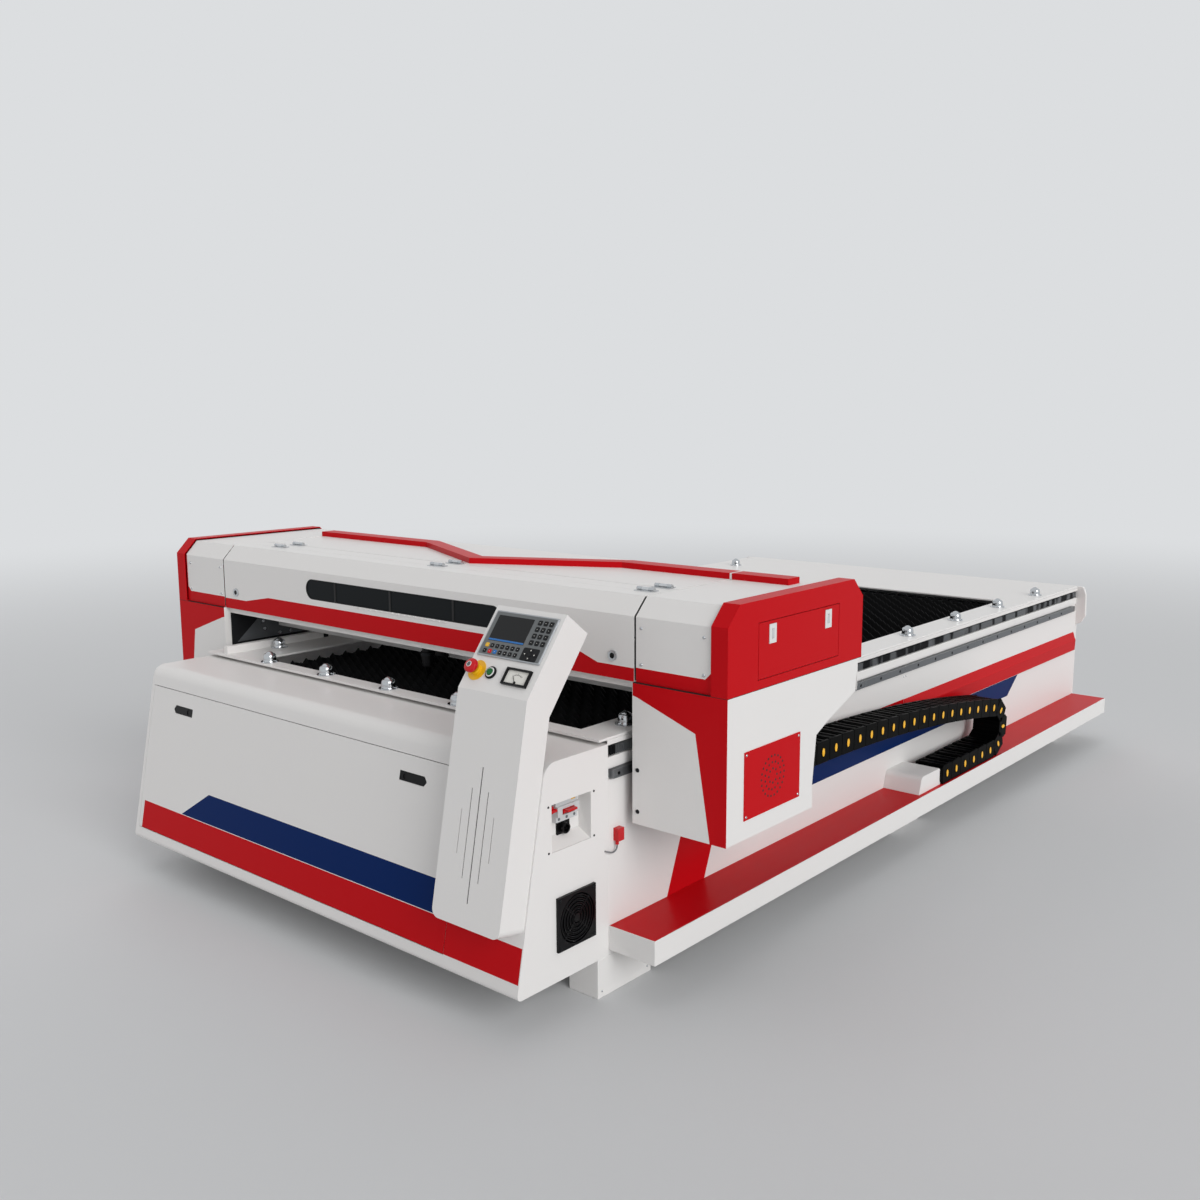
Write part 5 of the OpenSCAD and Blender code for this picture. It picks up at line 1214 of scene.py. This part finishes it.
def dress_optics():
    """Bore and collars of the laser tube, and the rings of the laser head's lens holder."""
    low, high = span("laser_tube")
    length = high.x - low.x
    along = local_frame(at(low.x, (low.y + high.y) / 2, (low.z + high.z) / 2), BACKWARD, UP)
    bore = [(0, 30), (6, 32), (9, 60), (9, length - 60), (6, length - 32), (0, length - 30)]
    turned_piece("tube_bore", "moulded_white_abs", "gantry", "white_plastic", along, (bore, 20))
    collars = [([(20.3, x), (24, x + 2), (24, x + 26), (20.3, x + 28), (20.3, x)], 28)
               for x in (-2, length - 26)]
    turned_piece("tube_collars", "anodised_aluminium", "gantry", "machined_aluminium", along,
                 *collars)
    lens = local_frame(at(0, 200, span("laser_head")[0].z), RIGHT, BACKWARD)
    turned_piece("lens_ring", "black_oxide_steel", "laser_head", "black_paint", lens,
                 ([(12.2, 29), (13.5, 30), (13.5, 38), (19.2, 44), (19.2, 46), (12.2, 46),
                   (12.2, 29)], 32),
                 ([(23.1, 66), (24.2, 67), (24.2, 76), (23.1, 77), (23.1, 66)], 40))


def dress_gussets():
    """Bolted grey gusset plate inside each leg."""
    outline = [(112, 628), (500, 628), (500, 722), (232, 738), (196, 699)]
    holes = [(228, 693), (234, 664), (300, 640), (351, 640), (430, 700)]
    thick = 6                           # of the plate
    plates, bolts = [], []
    for side in (-1, 1):
        wall = local_frame(at(side * (LEG_X - 0.2), 0, 0), (0, side, 0), UP)
        plates.append(([(y * side, z) for y, z in outline[::side]], thick,
                       wall @ Matrix.Scale(-1, 4, UP), 0.8))
        bolts += [(at(side * (LEG_X - thick), y, z), (-side, 0, 0)) for y, z in holes]
    cut_piece("leg_gussets", "grey_frame_enamel", "gantry", "frame_grey", *plates)
    copies("gusset_bolts", bolts, cap_screw(), "chrome_plate", "gantry", 1.6)


def dress_power_recess():
    """Lever, marker and terminals of the breaker, the recess's foot and the bed's sheet stop."""
    low, high = span("breaker")
    side = local_frame(at(high.x, (low.y + high.y) / 2, (low.z + high.z) / 2), BACKWARD, UP)
    rear, front = lifted(side, -24), lifted(side, -8)
    cut_piece("isolator_lever", "moulded_red_abs", "base", "red_plastic",
              (rounded(15, 20, 2, cx=-54, cy=5), 14, rear, 1),
              (rounded(30, 8, 2.5, cx=-50, cy=4), 22, rear, 2))
    cut_piece("breaker_marker", "moulded_yellow_abs", "base", "yellow_plastic",
              (rounded(16, 9, 0.6, cx=26, cy=23), 0.5, front))
    cut_piece("breaker_terminals", "ground_steel", "base", "chrome_steel",
              *[(disc(4.2, 14, cx=y, cy=-24), 0.8, front, 0.3) for y in (-30, 0, 30)])
    low, high = span("power_panel")
    half, gap = 77, 0.3                 # half the recess's width, and the play at its walls
    foot, inner = low.z + 8, high.x - 42
    ramp = local_frame(at(0, (low.y + high.y) / 2 - half + gap, 0), RIGHT, UP)
    slope = [(inner, foot + 0.2), (high.x - 2 * gap, foot + 0.2), (inner, foot + 23)]
    cut_piece("recess_ramp", "powder_coat_white", "base", "white_powder_coat",
              (slope, 2 * half - 2 * gap, ramp @ Matrix.Scale(-1, 4, UP)))
    stop = local_frame(at(-849.5, 413.5, BED_TOP), RIGHT, BACKWARD)
    cut_piece("sheet_stop", "moulded_black_abs", "base", "black_paint",
              (rounded(25, 23, 3), 30, stop, 2))


# ---------------------------------------------------------------- stage

def make_camera():
    """Camera at eye height, in front and to the right."""
    yaw, pitch, roll = (math.radians(a) for a in (40.689, -9.082, -0.326))
    spot = (2.998, -3.98248, 1.617)
    forward = Vector((-math.sin(yaw) * math.cos(pitch), math.cos(yaw) * math.cos(pitch),
                      math.sin(pitch)))
    right = Vector((math.cos(yaw), math.sin(yaw), 0))
    up = right.cross(forward)
    right_r = right * math.cos(roll) + up * math.sin(roll)
    up_r = up * math.cos(roll) - right * math.sin(roll)
    data = bpy.data.cameras.new("camera")
    data.lens = 36.38
    data.sensor_width = 36.0
    data.clip_end = 200
    camera = bpy.data.objects.new("camera", data)
    bpy.context.scene.collection.objects.link(camera)
    rows = [[right_r[i], up_r[i], -forward[i], spot[i]] for i in range(3)]
    camera.matrix_world = Matrix(rows + [[0, 0, 0, 1]])
    bpy.context.scene.camera = camera


def make_lamp(name, direction, level, spread=40, glint=False):
    """Soft light from a direction; level is how bright it makes a white surface that faces it."""
    data = bpy.data.lights.new(name, "SUN")
    data.angle = math.radians(spread)
    data.energy = level * math.pi
    lamp = bpy.data.objects.new(name, data)
    lamp.visible_glossy = glint
    bpy.context.scene.collection.objects.link(lamp)
    lamp.location = Vector(direction) * 6
    lamp.rotation_euler = turn_to(direction)


def seen_rays(tree):
    """1 for the rays that show the background: straight, in a reflection or through glass."""
    path = add(tree, "ShaderNodeLightPath").outputs
    seen = path["Is Camera Ray"]
    for kind in ("Is Glossy Ray", "Is Transmission Ray"):
        seen = add(tree, "ShaderNodeMath", {0: seen, 1: path[kind]},
                   operation="MAXIMUM").outputs[0]
    return seen


def studio_floor():
    """Matt grey-white studio floor that runs out into the backdrop with distance."""
    material = surface("matt_studio_floor", colours().floor, roughness=0.9, grain=0.03,
                       bump=0.02, Specular_IOR_Level=0.0)
    tree = material.node_tree
    place = tree.nodes["Texture Coordinate"].outputs["Object"]
    far = add(tree, "ShaderNodeVectorMath", {0: place}, operation="LENGTH")
    fade = add(tree, "ShaderNodeMapRange", {
        "Value": far.outputs["Value"], "From Min": 4.0, "From Max": 12.0},
        interpolation_type="SMOOTHSTEP")
    share = add(tree, "ShaderNodeMath", {0: fade.outputs[0], 1: seen_rays(tree)},
                operation="MULTIPLY")
    glow = add(tree, "ShaderNodeEmission", {0: linear(colours().backdrop), 1: 1.0})
    mix = add(tree, "ShaderNodeMixShader", {
        0: share.outputs[0], 1: tree.nodes["Finish"].outputs[0], 2: glow.outputs[0]})
    tree.links.new(mix.outputs[0], tree.nodes["Material Output"].inputs["Surface"])
    return material


def studio_world():
    """Even light from all round, and the backdrop that is seen."""
    world = bpy.data.worlds.new("studio")
    world.use_nodes = True
    tree = world.node_tree
    tree.nodes.clear()
    light = add(tree, "ShaderNodeBackground", {0: linear("#F4F5F7"), 1: 0.45})
    backdrop = add(tree, "ShaderNodeBackground", {0: linear(colours().backdrop), 1: 1.0})
    mix = add(tree, "ShaderNodeMixShader", {
        0: seen_rays(tree), 1: light.outputs[0], 2: backdrop.outputs[0]})
    add(tree, "ShaderNodeOutputWorld", {"Surface": mix.outputs[0]})
    return world


def make_stage():
    """Pale floor, soft studio light and the camera."""
    make_camera()
    reach, thick = 60000, 20
    bm = bmesh.new()
    prism(bm, rect(-reach, reach, -reach, reach), thick,
          Matrix.Translation((0, 0, -thick * MM)) @ Matrix.Scale(MM, 4))
    floor = shown("floor", mesh_of("floor", bm), PIECE_EDGE)
    floor.data.materials.append(studio_floor())
    bpy.context.scene.world = studio_world()
    make_lamp("key_light", (0.9, -0.25, 0.4), 0.52, glint=True)
    make_lamp("top_light", (-0.1, 0.1, 1.0), 0.12, 60)
    make_lamp("front_light", (-0.25, -0.95, 0.25), 0.04)
    make_lamp("back_light", (-0.75, 0.65, 0.3), 0.22)
    bpy.context.scene.view_settings.view_transform = "Standard"


# ---------------------------------------------------------------- operators

class ENGRAVER_OT_stage(bpy.types.Operator):
    """Adds the floor, the lights and the camera"""

    bl_idname = "engraver.stage"
    bl_label = "Stage"

    def execute(self, context):
        make_stage()
        return {"FINISHED"}


class ENGRAVER_OT_sheet_metal(bpy.types.Operator):
    """Gives every part its finish and rounds its folds"""

    bl_idname = "engraver.sheet_metal"
    bl_label = "Sheet Metal"

    def execute(self, context):
        dress_sheet_metal()
        return {"FINISHED"}


class ENGRAVER_OT_screws(bpy.types.Operator):
    """Adds the screws of covers, plates and walls, painted shade in the vents' holes, and the
    fan's rings
    """

    bl_idname = "engraver.screws"
    bl_label = "Screws"

    def execute(self, context):
        dress_screws()
        return {"FINISHED"}


class ENGRAVER_OT_rail_screws(bpy.types.Operator):
    """Adds the screws in the guide rails"""

    bl_idname = "engraver.rail_screws"
    bl_label = "Rail Screws"

    def execute(self, context):
        dress_rail_screws()
        return {"FINISHED"}


class ENGRAVER_OT_ball_transfers(bpy.types.Operator):
    """Adds bolts and domes to the ball transfers"""

    bl_idname = "engraver.ball_transfers"
    bl_label = "Ball Transfers"

    def execute(self, context):
        dress_ball_transfers()
        return {"FINISHED"}


class ENGRAVER_OT_cable_chain(bpy.types.Operator):
    """Builds the cable chain link by link"""

    bl_idname = "engraver.cable_chain"
    bl_label = "Cable Chain"

    def execute(self, context):
        dress_cable_chain()
        return {"FINISHED"}


class ENGRAVER_OT_controller(bpy.types.Operator):
    """Adds the film, the display and the keys"""

    bl_idname = "engraver.controller"
    bl_label = "Controller"

    def execute(self, context):
        dress_controller()
        return {"FINISHED"}


class ENGRAVER_OT_buttons(bpy.types.Operator):
    """Adds the buttons' rings and the meter's dial"""

    bl_idname = "engraver.buttons"
    bl_label = "Buttons and Meter"

    def execute(self, context):
        dress_buttons()
        return {"FINISHED"}


class ENGRAVER_OT_window(bpy.types.Operator):
    """Adds the window's seal, dividers and clips"""

    bl_idname = "engraver.window"
    bl_label = "Window"

    def execute(self, context):
        dress_window()
        return {"FINISHED"}


class ENGRAVER_OT_latches(bpy.types.Operator):
    """Adds the grips of the latches and the cam locks' sockets"""

    bl_idname = "engraver.latches"
    bl_label = "Latches"

    def execute(self, context):
        dress_latches()
        return {"FINISHED"}


class ENGRAVER_OT_gussets(bpy.types.Operator):
    """Adds the bolted plates inside the legs"""

    bl_idname = "engraver.gussets"
    bl_label = "Gussets"

    def execute(self, context):
        dress_gussets()
        return {"FINISHED"}


class ENGRAVER_OT_optics(bpy.types.Operator):
    """Adds the bore, collars and lens rings"""

    bl_idname = "engraver.optics"
    bl_label = "Optics"

    def execute(self, context):
        dress_optics()
        return {"FINISHED"}


class ENGRAVER_OT_lead(bpy.types.Operator):
    """Rounds the limit switch's lead"""

    bl_idname = "engraver.lead"
    bl_label = "Switch Lead"

    def execute(self, context):
        dress_lead()
        return {"FINISHED"}


class ENGRAVER_OT_power_recess(bpy.types.Operator):
    """Adds detail to the mains recess, and the bed's sheet stop"""

    bl_idname = "engraver.power_recess"
    bl_label = "Power Recess"

    def execute(self, context):
        dress_power_recess()
        return {"FINISHED"}


OPERATORS = [
    ENGRAVER_OT_stage, ENGRAVER_OT_sheet_metal, ENGRAVER_OT_screws, ENGRAVER_OT_rail_screws,
    ENGRAVER_OT_ball_transfers, ENGRAVER_OT_cable_chain, ENGRAVER_OT_controller,
    ENGRAVER_OT_buttons, ENGRAVER_OT_window, ENGRAVER_OT_latches, ENGRAVER_OT_gussets,
    ENGRAVER_OT_optics, ENGRAVER_OT_lead, ENGRAVER_OT_power_recess]


class ENGRAVER_PT_panel(bpy.types.Panel):
    """Lists the machine's settings and operators."""

    bl_label = "Laser Engraving Machine"
    bl_idname = "ENGRAVER_PT_panel"
    bl_space_type = "VIEW_3D"
    bl_region_type = "UI"
    bl_category = "Engraver"

    def draw(self, context):
        for group in (context.scene.engraver_colours, context.scene.engraver_sizes):
            for name in group.bl_rna.properties.keys():
                if name not in ("name", "rna_type"):
                    self.layout.prop(group, name)
        for item in OPERATORS:
            self.layout.operator(item.bl_idname)


CLASSES = [EngraverColours, EngraverSizes, *OPERATORS, ENGRAVER_PT_panel]


def register():
    """Registers the classes and puts the settings on the scene."""
    for item in CLASSES:
        bpy.utils.register_class(item)
    bpy.types.Scene.engraver_colours = bpy.props.PointerProperty(type=EngraverColours)
    bpy.types.Scene.engraver_sizes = bpy.props.PointerProperty(type=EngraverSizes)


def unregister():
    """Takes the settings and the classes away."""
    del bpy.types.Scene.engraver_sizes
    del bpy.types.Scene.engraver_colours
    for item in reversed(CLASSES):
        bpy.utils.unregister_class(item)


def main():
    """Runs every operator in order."""
    register()
    TREES.update(copies=copies_tree(), row=row_tree(), links=links_tree())
    for item in OPERATORS:
        getattr(bpy.ops.engraver, item.bl_idname.split(".")[1])()


if __name__ == "__main__":
    main()
